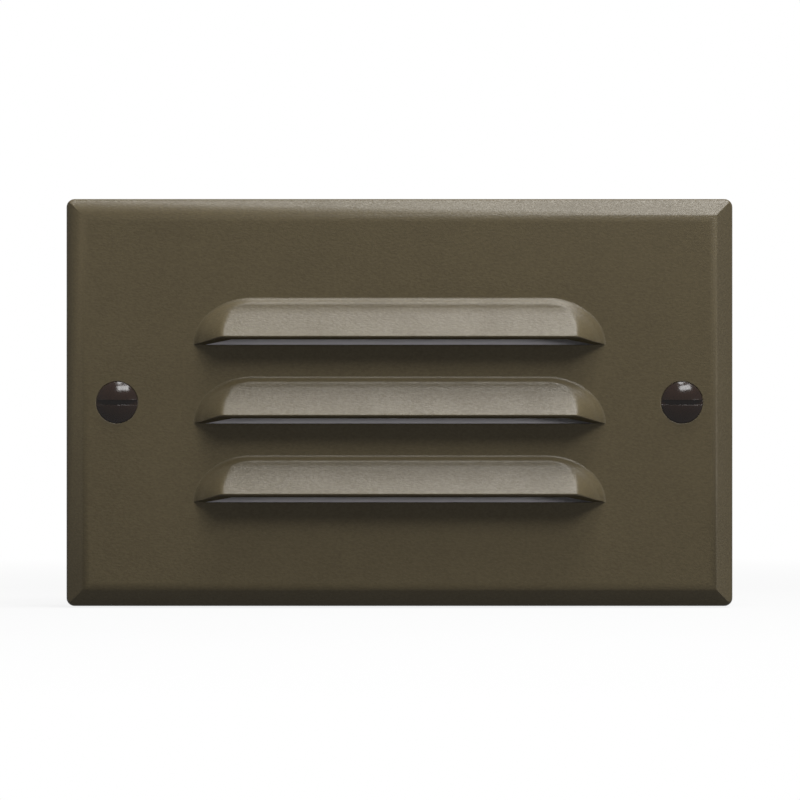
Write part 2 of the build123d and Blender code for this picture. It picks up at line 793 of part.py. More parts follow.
with BuildPart() as smoothing_capacitor:
    with BuildSketch(front(driver_back)):
        with Locations((capacitor_x, capacitor_z)):
            Circle(capacitor_radius)
    extrude(amount=-capacitor_height)
save(smoothing_capacitor.part, "smoothing_capacitor")

with BuildPart() as bridge_rectifier:
    with BuildSketch(front(driver_back)):
        with Locations((0, rectifier_z)):
            Rectangle(rectifier_width, rectifier_height)
    extrude(amount=-rectifier_thickness)
    chamfer(bridge_rectifier.faces().sort_by(Axis.Y)[-1].edges(), rectifier_thickness / 8)
save(bridge_rectifier.part, "bridge_rectifier")

with BuildPart() as driver_chip:
    with BuildSketch(front(driver_back)):
        with Locations((chip_x, chip_z)):
            Rectangle(chip_width, chip_height)
    extrude(amount=-chip_thickness)
    chamfer(driver_chip.faces().sort_by(Axis.Y)[-1].edges(), chip_thickness / 6)
save(driver_chip.part, "driver_chip")

# Two-way terminal for the supply leads: wire mouths facing up, clamp screws facing the rear
with BuildPart() as terminal_block:
    with BuildSketch(front(driver_back)):
        with Locations((0, terminal_z)):
            Rectangle(terminal_width, terminal_depth)
    extrude(amount=-terminal_height)
    with BuildSketch(Plane.XY.offset(terminal_z + terminal_depth / 2)):
        with Locations((0, terminal_height / 2 - driver_back)):
            with GridLocations(terminal_width / 2, 0, 2, 1):
                Rectangle(terminal_opening, terminal_opening)
    extrude(amount=-terminal_depth / 2, mode=Mode.SUBTRACT)
    with BuildSketch(front(driver_back - terminal_height)):
        with Locations((0, terminal_z)):
            with GridLocations(terminal_width / 2, 0, 2, 1):
                RegularPolygon(terminal_opening / 2, small_shank_sides)
    extrude(amount=terminal_screw_recess, mode=Mode.SUBTRACT)
save(terminal_block.part, "terminal_block")

# Rear seal on the end of the body wall, and the cover with the grommet that the supply leads come in by
with BuildPart() as rear_gasket:
    with BuildSketch(front(cover_front)):
        RectangleRounded(body_width, body_height, body_corner_radius)
        Rectangle(chamber_width, chamber_height, mode=Mode.SUBTRACT)
    extrude(amount=rear_gasket_thickness)
save(rear_gasket.part, "rear_gasket")

with BuildPart() as rear_cover:
    with BuildSketch(front(cover_back)):
        RectangleRounded(body_width, body_height + 2 * rib_height, body_corner_radius)
        pilot_holes(corners(cover_screw_x, cover_screw_z), cover_screw_radius + hole_clearance)
        Circle(grommet_bore_radius + grommet_wall + hole_clearance, mode=Mode.SUBTRACT)
    extrude(amount=rear_cover_thickness)
save(rear_cover.part, "rear_cover")

rear_cover_screws = small_screws(
    points=corners(cover_screw_x, cover_screw_z),
    seat=cover_back,
    way=-1,
    head_radius=cover_head_radius,
    head_height=cover_head_height,
    shank_radius=cover_screw_radius,
    grip=body_back + cover_screw_grip - cover_back,
)
save(rear_cover_screws, "rear_cover_screws")

# Rubber grommet: a neck through the cover, with a flange on each side
grommet_neck = grommet_bore_radius + grommet_wall
grommet_rim = grommet_neck + grommet_flange
with BuildPart() as lead_grommet:
    with BuildSketch(Plane.XY):
        with BuildLine():
            Polyline(
                (grommet_bore_radius, -cover_front - grommet_flange_thickness),
                (grommet_rim, -cover_front - grommet_flange_thickness),
                (grommet_rim, -cover_front),
                (grommet_neck, -cover_front),
                (grommet_neck, -cover_back),
                (grommet_rim, -cover_back),
                (grommet_rim, -cover_back + grommet_flange_thickness),
                (grommet_bore_radius, -cover_back + grommet_flange_thickness),
                close=True,
            )
        make_face()
    revolve(axis=Axis.Y)
save(lead_grommet.part, "lead_grommet")
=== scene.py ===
"""Looks of the louvred step light: its finishes, fasteners, light engine, driver, stage and camera."""

import json
import logging
import math
from dataclasses import dataclass, field
from enum import Enum, auto

import bmesh
import bpy
import numpy as np
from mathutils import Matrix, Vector

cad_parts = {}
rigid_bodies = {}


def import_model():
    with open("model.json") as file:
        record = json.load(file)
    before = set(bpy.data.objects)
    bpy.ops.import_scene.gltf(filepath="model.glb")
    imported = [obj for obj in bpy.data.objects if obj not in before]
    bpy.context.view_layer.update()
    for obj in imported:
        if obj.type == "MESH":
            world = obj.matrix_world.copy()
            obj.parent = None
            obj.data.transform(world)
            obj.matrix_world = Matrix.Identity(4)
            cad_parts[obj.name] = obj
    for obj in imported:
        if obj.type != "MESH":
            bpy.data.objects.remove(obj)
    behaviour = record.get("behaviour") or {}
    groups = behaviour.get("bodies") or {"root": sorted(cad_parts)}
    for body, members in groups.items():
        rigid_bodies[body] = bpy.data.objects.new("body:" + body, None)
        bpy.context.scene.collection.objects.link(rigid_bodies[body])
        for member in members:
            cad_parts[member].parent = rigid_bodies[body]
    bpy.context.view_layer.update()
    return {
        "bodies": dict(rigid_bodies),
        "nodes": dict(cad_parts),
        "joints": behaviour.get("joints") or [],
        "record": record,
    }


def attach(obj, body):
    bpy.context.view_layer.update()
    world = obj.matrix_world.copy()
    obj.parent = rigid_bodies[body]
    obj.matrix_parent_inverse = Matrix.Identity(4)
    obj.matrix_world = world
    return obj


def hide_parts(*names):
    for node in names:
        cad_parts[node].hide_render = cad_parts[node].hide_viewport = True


MM = 0.001
SAME_SPOT = 1e-6
TINY = 1e-12
SHARP_ANGLE = 32.0
WHITE = (1, 1, 1, 1)
SHOP_LOG = logging.getLogger("step_light")

Point = tuple[float, float]
Colour = tuple[float, float, float]
Socket = tuple[bpy.types.Node, str | int]


class Grain(Enum):
    """How the fine structure of a finish lies."""

    POWDER = auto()
    CAST = auto()
    BRUSHED = auto()
    SPANGLED = auto()
    FOAMED = auto()
    MOULDED = auto()
    FIBROUS = auto()


class NodeBench:
    """Lays out the nodes of one material or world."""

    MIX_FACTOR, MIX_FIRST, MIX_SECOND, MIX_RESULT = 0, 6, 7, 2  # sockets of a Mix node set to colours

    def __init__(self, tree: bpy.types.NodeTree) -> None:
        """Clear the tree that the nodes go into."""
        self.tree = tree
        tree.nodes.clear()

    def add(
        self, kind: str, inputs: dict[str | int, object] | None = None, **settings: object
    ) -> bpy.types.Node:
        """Add one node, set its options and fill its inputs.

        Args:
            kind: the node type without its leading "ShaderNode".
            inputs: a value or a (node, output) pair for each named input.
            **settings: the node's own options.

        Returns:
            The new node.
        """
        node = self.tree.nodes.new(f"ShaderNode{kind}")
        for option, value in settings.items():
            setattr(node, option, value)
        for key, value in (inputs or {}).items():
            if isinstance(value, tuple) and value and isinstance(value[0], bpy.types.Node):
                self.tree.links.new(value[0].outputs[value[1]], node.inputs[key])
            else:
                node.inputs[key].default_value = value
        return node

    def math(self, operation: str, first: object, second: object = 0.0) -> Socket:
        """One arithmetic step on two numbers or sockets."""
        return self.add("Math", {0: first, 1: second}, operation=operation), "Value"

    def mapped(self, value: Socket, low: float, high: float, to_low: float, to_high: float) -> Socket:
        """Stretch a value from the range low to high to another range, held inside it."""
        inputs = {"Value": value, "From Min": low, "From Max": high, "To Min": to_low, "To Max": to_high}
        return self.add("MapRange", inputs, clamp=True), "Result"

    def blend(self, share: object, first: Colour | Socket, second: Colour | Socket) -> Socket:
        """Mix two colours.

        Args:
            share: how much of the second colour shows, as a number or a socket.
            first: a colour or a socket.
            second: a colour or a socket.

        Returns:
            The mixed colour's socket.
        """
        first, second = ((*colour, 1.0) if len(colour) == 3 else colour for colour in (first, second))
        inputs = {self.MIX_FACTOR: share, self.MIX_FIRST: first, self.MIX_SECOND: second}
        return self.add("Mix", inputs, data_type="RGBA"), self.MIX_RESULT


# What every finish shares: the lie of its grain, the parts of each noise that it uses, its lighter edges,
# which are partly wear and partly a painted highlight.
GRAIN_STRETCH: dict[Grain, tuple[float, float, float]] = {
    Grain.BRUSHED: (0.06, 1.0, 1.0),
    Grain.FIBROUS: (0.25, 1.0, 1.0),
    Grain.POWDER: (0.55, 1.0, 1.0),
}
NO_STRETCH = (1.0, 1.0, 1.0)
CAST_NOISE, PLAIN_NOISE = 0.72, 0.55
GRAIN_DETAIL, CLOUD_DETAIL = 5.0, 3.0
NOISE_RANGE = (0.28, 0.72)
GRAIN_SHARE, CLOUD_SHARE = 0.55, 0.45
COLOUR_RANGE = (0.25, 0.75)
GLOSS_RANGE = (0.3, 0.7)
EDGE_WEAR_AND_HIGHLIGHT_RANGE = (0.985, 0.9)
EDGE_WEAR_AND_HIGHLIGHT_MOST = 0.8
BEVEL_SAMPLES = 6
COAT_ROUGHNESS = 0.12


@dataclass(frozen=True)
class Finish:
    """One surface finish. Colours are linear, lengths are in millimetres."""

    colour: Colour
    shade: Colour
    grain: Grain = Grain.MOULDED
    roughness: float = 0.5
    roughness_spread: float = 0.08
    metallic: float = 0.0
    specular: float = 0.5
    grain_size: float = 0.5
    grain_depth: float = 0.01
    cloud_size: float = 12.0
    edge_radius: float = 0.0
    # lighter colour along edges: partly wear, partly a painted highlight
    edge_colour: Colour | None = None
    transmission: float = 0.0
    subsurface: float = 0.0
    coat: float = 0.0

    def _structure(self, bench: NodeBench) -> Socket:
        """Height of the fine structure, from 0 to 1.

        Args:
            bench: the material's bench.

        Returns:
            The socket of the height.
        """
        place = bench.add("TexCoord"), "Object"
        stretch = GRAIN_STRETCH.get(self.grain, NO_STRETCH)
        mapping = bench.add("Mapping", {"Vector": place, "Scale": stretch}), "Vector"
        scale = 1.0 / (self.grain_size * MM)
        if self.grain in (Grain.FOAMED, Grain.SPANGLED):
            cells = bench.add("TexVoronoi", {"Vector": mapping, "Scale": scale})
            output = "Distance" if self.grain is Grain.FOAMED else "Color"
            return cells, output
        inputs = {"Vector": mapping, "Scale": scale, "Detail": GRAIN_DETAIL}
        inputs["Roughness"] = CAST_NOISE if self.grain is Grain.CAST else PLAIN_NOISE
        noise = bench.add("TexNoise", inputs)
        return bench.mapped((noise, "Fac"), *NOISE_RANGE, 0.0, 1.0)

    def material(self, name: str) -> bpy.types.Material:
        """Build the finish as a node material.

        Args:
            name: the material's name.

        Returns:
            The material.
        """
        made = bpy.data.materials.new(name)
        made.use_nodes = True
        bench = NodeBench(made.node_tree)
        height = self._structure(bench)
        place = bench.add("TexCoord"), "Object"
        scale = 1.0 / (self.cloud_size * MM)
        cloud = bench.add("TexNoise", {"Vector": place, "Scale": scale, "Detail": CLOUD_DETAIL})
        fine = bench.math("MULTIPLY", height, GRAIN_SHARE)
        share = bench.math("ADD", fine, bench.math("MULTIPLY", (cloud, "Fac"), CLOUD_SHARE))
        colour = bench.blend(bench.mapped(share, *COLOUR_RANGE, 0.0, 1.0), self.colour, self.shade)
        bump_inputs: dict[str | int, object] = {"Height": height, "Strength": 1.0}
        bump_inputs["Distance"] = self.grain_depth * MM
        if self.edge_radius:
            soft = bench.add("Bevel", {"Radius": self.edge_radius * MM}, samples=BEVEL_SAMPLES)
            bump_inputs["Normal"] = (soft, "Normal")
            # lighter colour along the edges: partly wear, partly a painted highlight where the edges catch
            # the light
            if self.edge_colour:
                bare = bench.add("NewGeometry"), "Normal"
                turn = bench.add("VectorMath", {0: (soft, "Normal"), 1: bare}, operation="DOT_PRODUCT")
                edge = bench.mapped((turn, "Value"), *EDGE_WEAR_AND_HIGHLIGHT_RANGE, 0.0, EDGE_WEAR_AND_HIGHLIGHT_MOST)
                colour = bench.blend(bench.math("MULTIPLY", edge, height), colour, self.edge_colour)
        bump = bench.add("Bump", bump_inputs)
        low, high = self.roughness - self.roughness_spread, self.roughness + self.roughness_spread
        shader = bench.add(
            "BsdfPrincipled",
            {
                "Base Color": colour,
                "Roughness": bench.mapped(share, *GLOSS_RANGE, low, high),
                "Normal": (bump, "Normal"),
                "Metallic": self.metallic,
                "Specular IOR Level": self.specular,
                "Transmission Weight": self.transmission,
                "Subsurface Weight": self.subsurface,
                "Subsurface Scale": MM,
                "Coat Weight": self.coat,
                "Coat Roughness": COAT_ROUGHNESS,
            },
        )
        bench.add("OutputMaterial", {"Surface": (shader, "BSDF")})
        return made


class Slot(Enum):
    """The record's material slots, each with its finish."""

    # edge colours below are lighter than their finishes: partly wear, partly a painted highlight along edges
    BRONZE_PAINT = Finish(
        (0.059, 0.047, 0.0252), (0.0447, 0.0351, 0.0185), Grain.POWDER, roughness=0.38, roughness_spread=0.05,
        specular=0.17, grain_size=0.32, grain_depth=0.018, cloud_size=9.0, edge_radius=0.22,
        edge_colour=(0.16, 0.14, 0.10),
    )
    BLACK_FOAM = Finish(
        (0.022, 0.022, 0.023), (0.012, 0.012, 0.012), Grain.FOAMED, roughness=0.85, grain_size=0.35,
        grain_depth=0.06,
    )
    CLEAR_SILICONE = Finish(
        (0.55, 0.55, 0.54), (0.47, 0.47, 0.46), roughness=0.42, grain_size=0.8, subsurface=0.3,
        transmission=0.25,
    )
    # the lens is white; its faint purple tint is a painted cool reflection
    FROSTED_GLASS = Finish((0.88, 0.85, 0.88), (0.82, 0.79, 0.83), grain_size=0.12, transmission=0.04)
    SPRING_STEEL = Finish(
        (0.50, 0.50, 0.51), (0.38, 0.38, 0.39), Grain.BRUSHED, roughness=0.28, metallic=1.0, grain_size=0.12,
        grain_depth=0.004, edge_radius=0.06,
    )
    ZINC_SCREW = Finish(
        (0.58, 0.58, 0.60), (0.44, 0.45, 0.48), roughness=0.26, metallic=1.0, grain_size=0.25,
        grain_depth=0.004, cloud_size=1.6, edge_radius=0.06,
    )
    DARK_SCREW = Finish(
        (0.013, 0.0065, 0.004), (0.008, 0.0038, 0.0024), roughness=0.15, roughness_spread=0.04, specular=0.2,
        grain_size=0.3, grain_depth=0.004, cloud_size=2.0, edge_radius=0.1, edge_colour=(0.06, 0.045, 0.036),
    )
    ZINC_STRAP = Finish(
        (0.50, 0.51, 0.53), (0.36, 0.37, 0.39), Grain.SPANGLED, roughness=0.36, metallic=1.0, grain_size=3.2,
        grain_depth=0.004, cloud_size=5.0, edge_radius=0.12,
    )
    GREEN_SCREW = Finish(
        (0.012, 0.155, 0.028), (0.006, 0.085, 0.016), roughness=0.3, metallic=0.6, grain_size=0.3,
        grain_depth=0.004, cloud_size=1.6, coat=0.3, edge_radius=0.08, edge_colour=(0.25, 0.36, 0.27),
    )
    CAST_HOUSING = Finish(
        (0.34, 0.34, 0.345), (0.22, 0.22, 0.225), Grain.CAST, roughness=0.56, metallic=0.85, grain_size=0.45,
        grain_depth=0.05, cloud_size=7.0, edge_radius=0.3, edge_colour=(0.5, 0.5, 0.5),
    )
    WHITE_PLASTIC = Finish(
        (0.84, 0.84, 0.81), (0.76, 0.76, 0.73), roughness=0.3, grain_size=0.4, grain_depth=0.004,
    )
    WHITE_BOARD = Finish(
        (0.80, 0.80, 0.77), (0.72, 0.72, 0.69), roughness=0.38, grain_size=0.3, grain_depth=0.003,
    )
    LED_PHOSPHOR = Finish(
        (0.84, 0.62, 0.085), (0.72, 0.50, 0.06), roughness=0.4, grain_size=0.06, grain_depth=0.004,
        subsurface=0.2,
    )
    GREY_PAD = Finish(
        (0.26, 0.27, 0.29), (0.20, 0.21, 0.23), roughness=0.75, grain_size=0.2, grain_depth=0.02,
    )
    NYLON = Finish((0.70, 0.68, 0.60), (0.62, 0.60, 0.52), grain_size=0.4, subsurface=0.25)
    RED_INSULATION = Finish((0.40, 0.006, 0.006), (0.28, 0.004, 0.004), roughness=0.36, grain_size=0.4)
    BLACK_INSULATION = Finish((0.012, 0.012, 0.012), (0.02, 0.02, 0.02), roughness=0.36, grain_size=0.4)
    FISH_PAPER = Finish(
        (0.17, 0.18, 0.21), (0.12, 0.13, 0.15), Grain.FIBROUS, roughness=0.8, grain_depth=0.02,
    )
    GREEN_BOARD = Finish(
        (0.010, 0.085, 0.025), (0.006, 0.055, 0.016), roughness=0.34, grain_size=0.6, coat=0.3,
    )
    COPPER_WINDING = Finish(
        (0.42, 0.13, 0.045), (0.30, 0.085, 0.03), Grain.BRUSHED, roughness=0.3, metallic=0.9, grain_size=0.2,
        coat=0.4,
    )
    CAPACITOR_SLEEVE = Finish((0.010, 0.012, 0.019), (0.016, 0.018, 0.026), roughness=0.3, grain_size=0.6)
    BLACK_EPOXY = Finish((0.010, 0.010, 0.010), (0.018, 0.018, 0.018), roughness=0.62, grain_size=0.12)
    TERMINAL_PLASTIC = Finish((0.014, 0.11, 0.045), (0.010, 0.08, 0.034), roughness=0.48, grain_size=0.3)
    COVER_PLASTIC = Finish(
        (0.020, 0.020, 0.021), (0.013, 0.013, 0.014), roughness=0.56, grain_size=0.3, grain_depth=0.03,
        edge_radius=0.3,
    )
    BLACK_RUBBER = Finish(
        (0.014, 0.014, 0.014), (0.021, 0.021, 0.021), roughness=0.7, grain_size=0.4, grain_depth=0.012,
        edge_radius=0.25,
    )

    @property
    def label(self) -> str:
        """The slot's name in the record."""
        return self.name.lower()


class Shape:
    """Mesh building in a bmesh. Points are (x, z) in millimetres and heights run forward from the wall."""

    THREAD_STEPS = 7  # rings in one pitch
    THREAD_FADE = 4.0  # the thread rises over one fourth of its length at each end
    CREST_SHARPNESS = 1.35

    def __init__(self) -> None:
        """Start with an empty mesh."""
        self.bm = bmesh.new()

    @staticmethod
    def at(x: float, height: float, z: float) -> Vector:
        """A point of the row frame, in metres, from millimetres and a height in front of the wall."""
        return Vector((x * MM, -height * MM, z * MM))

    def ring(self, points: list[Point], height: float) -> list[bmesh.types.BMVert]:
        """Vertices of one outline at a height."""
        return [self.bm.verts.new(self.at(x, height, z)) for x, z in points]

    def skin(self, first: list[bmesh.types.BMVert], second: list[bmesh.types.BMVert]) -> None:
        """Join two rings with faces.

        Args:
            first: one ring of vertices.
            second: the other ring, with as many vertices.
        """
        count = len(first)
        for i in range(count):
            j = (i + 1) % count
            self.bm.faces.new((first[i], first[j], second[j], second[i]))

    def enclose(self, rings: list[list[bmesh.types.BMVert]]) -> None:
        """Skin rings of equal count one after the other and close both ends.

        Args:
            rings: the rings from end to end.
        """
        for first, second in zip(rings, rings[1:]):
            self.skin(first, second)
        for end in (rings[0], rings[-1]):
            self.bm.faces.new(end)

    def place(self, name: str) -> bpy.types.Object:
        """Put the finished shape into the scene and let go of the bmesh.

        Args:
            name: the name of the object and of its mesh.

        Returns:
            The new object.
        """
        mesh = bpy.data.meshes.new(name)
        self.bm.to_mesh(mesh)
        self.bm.free()
        placed = bpy.data.objects.new(name, mesh)
        bpy.context.scene.collection.objects.link(placed)
        return placed

    def weld(self, reach: float) -> None:
        """Join vertices within a reach in metres and take out the faces that this leaves without area."""
        bmesh.ops.remove_doubles(self.bm, verts=self.bm.verts, dist=reach)
        bmesh.ops.dissolve_degenerate(self.bm, edges=self.bm.edges, dist=reach)

    def stack(self, layers: list[tuple[list[Point], float]]) -> None:
        """A closed solid through (outline, height) layers with equally many points in each outline."""
        self.enclose([self.ring(points, height) for points, height in layers])

    def lathe(self, profile: list[tuple[float, float]], centre: Point, sides: int = 32) -> None:
        """A turned solid through (radius, height) pairs, with flat ends and a front-to-back axis."""
        self.stack([(circle(centre, radius, sides), height) for radius, height in profile])

    def thread(
        self, centre: Point, start: float, end: float, radii: Point, pitch: float, sides: int = 28
    ) -> None:
        """A right-hand threaded shank with flat ends.

        Args:
            centre: the axis.
            start: height of the near end, where the shank meets the head or shoulder.
            end: height of the tip.
            radii: radius at the roots and over the crests.
            pitch: advance in one turn.
            sides: how many sides the shank has.
        """
        minor, major = radii
        steps = max(8, round(abs(end - start) / pitch * self.THREAD_STEPS))
        rings = []
        for step in range(steps + 1):
            height = start + (end - start) * step / steps
            fade = min(1.0, self.THREAD_FADE * step / steps, self.THREAD_FADE * (steps - step) / steps)
            points = []
            for side in range(sides):
                angle = 2 * math.pi * side / sides
                phase = (height / pitch + side / sides) % 1.0
                crest = max(0.0, 1.0 - abs(2.0 * phase - 1.0) * self.CREST_SHARPNESS)
                radius = minor + (major - minor) * crest * fade
                points.append((centre[0] + radius * math.cos(angle), centre[1] + radius * math.sin(angle)))
            rings.append(self.ring(points, height))
        self.enclose(rings)

    def tube(self, path: list[Vector], radius: float, sides: int = 14) -> None:
        """A round rod along points, with flat ends.

        Args:
            path: points of the row frame in metres.
            radius: in millimetres.
            sides: how many sides the rod has.
        """
        rings = []
        across = Vector((1, 0, 0))
        for i, point in enumerate(path):
            ahead = path[min(i + 1, len(path) - 1)] - path[max(i - 1, 0)]
            up = ahead.cross(across).normalized()
            side_way = up.cross(ahead).normalized()
            turns = [2 * math.pi * side / sides for side in range(sides)]
            spots = [point + (side_way * math.cos(t) + up * math.sin(t)) * radius * MM for t in turns]
            rings.append([self.bm.verts.new(spot) for spot in spots])
        self.enclose(rings)

    def block(self, centre: Point, size: Point, back: float, front: float, edge: float = 0.1) -> None:
        """A box with its front edges taken off.

        Args:
            centre: middle of the outline.
            size: width and height of the outline.
            back: height of its back face.
            front: height of its front face.
            edge: size of the chamfer along the front edges.
        """
        x, z = centre
        width, tall = size[0] / 2, size[1] / 2

        def outline(inset: float) -> list[Point]:
            """The box's outline drawn in by an inset."""
            w, t = width - inset, tall - inset
            return [(x - w, z - t), (x + w, z - t), (x + w, z + t), (x - w, z + t)]

        step = edge if front > back else -edge
        self.stack([(outline(0), back), (outline(0), front - step), (outline(edge), front)])


def circle(centre: Point, radius: float, sides: int) -> list[Point]:
    """The corners of a regular outline, in order."""
    angles = [2 * math.pi * i / sides for i in range(sides)]
    return [(centre[0] + radius * math.cos(a), centre[1] + radius * math.sin(a)) for a in angles]


def smoothed(mesh: bpy.types.Mesh, angle: float) -> None:
    """Shade a mesh smooth, except over edges sharper than an angle in degrees."""
    mesh.shade_smooth()
    mesh.set_sharp_from_angle(angle=math.radians(angle))


@dataclass
class Workshop:
    """Turns shapes into named pieces and dresses the carried-over nodes."""

    materials: dict[Slot, bpy.types.Material] = field(default_factory=dict)

    def __post_init__(self) -> None:
        """Build every finish once."""
        for slot in Slot:
            self.materials[slot] = slot.value.material(slot.label)

    def dress_nodes(self, frame: dict) -> None:
        """Give each carried-over node its finish.
        """
        for row in frame["record"]["subparts"]:
            slot = Slot[row["material_slot"].upper()]
            node = frame["nodes"][row["node"]]
            node.data.materials.clear()
            node.data.materials.append(self.materials[slot])
            SHOP_LOG.info("dressed %s in %s", row["node"], slot.label)

    def deliver(
        self,
        shape: Shape,
        name: str,
        slot: Slot,
        body: str,
        replaced: tuple[str, ...] = (),
        smooth: float = SHARP_ANGLE,
    ) -> bpy.types.Object:
        """Make a piece out of a shape.

        Args:
            shape: the mesh so far.
            name: the piece's name.
            slot: the record's slot that it is finished in.
            body: the body that it rides on.
            replaced: the nodes that it stands for.
            smooth: edges sharper than this many degrees stay sharp.

        Returns:
            The piece.
        """
        bmesh.ops.recalc_face_normals(shape.bm, faces=shape.bm.faces)
        piece = shape.place(name)
        smoothed(piece.data, smooth)
        piece.data.materials.append(self.materials[slot])
        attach(piece, body)
        if replaced:
            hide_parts(*replaced)
        SHOP_LOG.info("made %s on %s with %d faces", name, body, len(piece.data.polygons))
        return piece


@dataclass
class CastPlate:
    """The cast faceplate with its three hoods, whose corners and ridges are softened as on the casting."""

    shop: Workshop
    field_height: float = 9.5
    lip_heights: tuple[float, ...] = (-15.9, -2.4, 11.1)
    half_width: float = 35.3
    corner: Point = (10.1, 8.1)
    top: float = 6.8
    projection: float = 4.5
    mouth_drop: float = 1.2
    slot_half_width: float = 33.3
    slot_top: float = 4.71
    hollow_half_width: float = 28.62
    hollow_front: float = 3.37
    seat: float = -0.02
    slot_cover: float = 0.45
    lip_lift: float = 0.38
    nose: Point = (0.26, 0.1)
    edge_blend: float = 0.30
    # Slopes of the hood's faces as (distance in from the foot, slope).
    ramp_slopes: tuple[Point, ...] = (
        (0.0, 0.4), (0.15, 1.0), (0.35, 1.05), (0.55, 0.75), (0.85, 0.55), (1.1, 0.3), (1.4, 0.25),
        (1.9, 0.4), (2.8, 0.6), (6.8, 0.74),
    )
    cheek_slopes: tuple[Point, ...] = (
        (0.0, 0.3), (0.2, 0.75), (0.45, 0.95), (0.75, 0.9), (1.0, 0.75), (1.3, 0.65), (2.0, 0.95),
        (4.9, 1.15),
    )
    corner_columns: int = 56
    middle_columns: int = 14
    rows: int = 40
    row_crowding: float = 1.5
    profile_reach: float = 12.0
    profile_points: int = 1201
    foot_points: int = 120
    foot_reach: float = 2.2
    mouth_passes: int = 24
    slack: float = 0.01
    smooth: float = 15.0

    def profile(self, slopes: tuple[Point, ...], inset: np.ndarray) -> np.ndarray:
        """Height reached at a distance in from the hood's foot.

        Args:
            slopes: (distance, slope) pairs.
            inset: distances in from the foot.

        Returns:
            The heights above the field.
        """
        distance = np.linspace(0.0, self.profile_reach, self.profile_points)
        slope = np.interp(distance, *zip(*slopes))
        climbed = np.cumsum((slope[1:] + slope[:-1]) / 2) * (distance[1] - distance[0])
        height = np.concatenate(([0.0], climbed))
        return np.interp(inset, distance, height)

    def outline(self, count: int) -> np.ndarray:
        """Points of the hood's foot over the top, from its left tip to its right tip.

        Args:
            count: points in each rounded corner.

        Returns:
            An array of (x, z) rows.
        """
        turn = np.linspace(0.0, math.pi / 2, count)
        reach, rise = self.corner
        x = reach - self.half_width - reach * np.cos(turn)
        left = np.stack((x, self.top - rise + rise * np.sin(turn)), axis=1)
        return np.concatenate((left, left[::-1] * (-1, 1)))

    def cover_limit(self, x: float) -> float:
        """How high above the lip the slot may reach at x and still be covered by the hood."""
        foot = self.outline(self.foot_points)[: self.foot_points]
        return float(np.interp(-abs(x), foot[:, 0], foot[:, 1])) - self.slot_cover

    def heights(self, x: np.ndarray, z: np.ndarray) -> np.ndarray:
        """Height of the hood's outer face above the field.

        Args:
            x: places along the plate.
            z: places above the lip.

        Returns:
            The heights.
        """
        foot = self.outline(self.foot_points)
        start, step = foot[:-1], np.diff(foot, axis=0)
        spot = np.stack((x.ravel(), z.ravel()), axis=1)[:, None, :] - start[None]
        share = np.clip((spot * step).sum(2) / np.maximum((step**2).sum(1), TINY), 0.0, 1.0)
        inset = np.sqrt(((spot - share[..., None] * step) ** 2).sum(2)).min(1).reshape(x.shape)
        full = self.profile(self.ramp_slopes, np.array([self.top]))[0]
        ramp = self.profile(self.ramp_slopes, self.top - z) * self.projection / full
        cheek = self.profile(self.cheek_slopes, inset) * self.projection / full
        gap = np.clip(1.0 - np.abs(cheek - ramp) / self.edge_blend, 0.0, 1.0)
        soft = np.minimum(cheek, ramp) - gap**2 * self.edge_blend / 4
        off_foot = np.clip(inset / self.foot_reach, 0.0, 1.0) ** 2
        return np.minimum(cheek, ramp) * (1 - off_foot) + soft * off_foot

    def mouth(self, foot: np.ndarray) -> np.ndarray:
        """Where each column of the outer face ends at the mouth.

        Args:
            foot: the (x, z) rows of the foot.

        Returns:
            The z above the lip's line for each row.
        """
        low = np.full(len(foot), -self.mouth_drop / 2)
        for _ in range(self.mouth_passes):
            reached = np.minimum(self.heights(foot[:, 0], low) / self.projection, 1.0)
            low = (self.mouth_drop + self.lip_lift) * reached - self.mouth_drop
            low = np.minimum(low, foot[:, 1])
        return low

    def hollow(self, x: float) -> list[tuple[float, float, float]]:
        """The two points of a column behind its outer face: at the slot's upper edge and inside the mouth.

        Args:
            x: the column's place along the plate.

        Returns:
            Their x, height above the field and z above the lip's line.
        """
        draw_in = (self.slot_half_width - self.hollow_half_width) / self.hollow_front
        inner_x = x * self.slot_half_width / self.half_width
        inner_h = min((self.slot_half_width - abs(inner_x)) / draw_in, self.hollow_front)
        share = inner_h / self.hollow_front
        slot_x = math.copysign(self.slot_half_width, inner_x)
        if share >= 1.0:
            slot_x = inner_x * self.slot_half_width / self.hollow_half_width
        slot_z = -self.mouth_drop + (self.slot_top + self.mouth_drop) * share
        slot_z = min(slot_z, self.cover_limit(slot_x))
        inner_z = -self.mouth_drop * (1 - inner_h / self.projection)
        return [(slot_x, self.seat, slot_z), (inner_x, inner_h, inner_z)]

    def hood(self, shape: Shape, lip: float) -> None:
        """One hood as a closed shell: outer face, mouth edge, hollow and seat.

        Args:
            shape: the mesh to add to.
            lip: z of its lip.
        """
        corners = self.outline(self.corner_columns)
        middle = np.linspace(-1, 1, self.middle_columns + 2)[1:-1] * (self.half_width - self.corner[0])
        flat = np.stack((middle, np.full_like(middle, self.top)), axis=1)
        foot = np.concatenate((corners[: self.corner_columns], flat, corners[self.corner_columns :]))
        low = self.mouth(foot)
        climb = 1 - (1 - np.linspace(0, 1, self.rows)) ** self.row_crowding
        z = low[:, None] + (foot[:, 1] - low)[:, None] * climb
        height = self.heights(np.repeat(foot[:, :1], self.rows, axis=1), z)
        height[:, -1] = self.seat
        rings = []
        for x, column_z, column_h in zip(foot[:, 0], z, height):
            share = min(column_h[0] / self.projection, 1.0)
            nose = (x, column_h[0] - self.nose[1] * share, column_z[0] - self.nose[0] * share)
            points = [(x, h, above) for h, above in zip(column_h, column_z)] + self.hollow(x) + [nose]
            spots = [Shape.at(across, self.field_height + h, lip + above) for across, h, above in points]
            rings.append([shape.bm.verts.new(spot) for spot in spots])
        shape.enclose(rings)

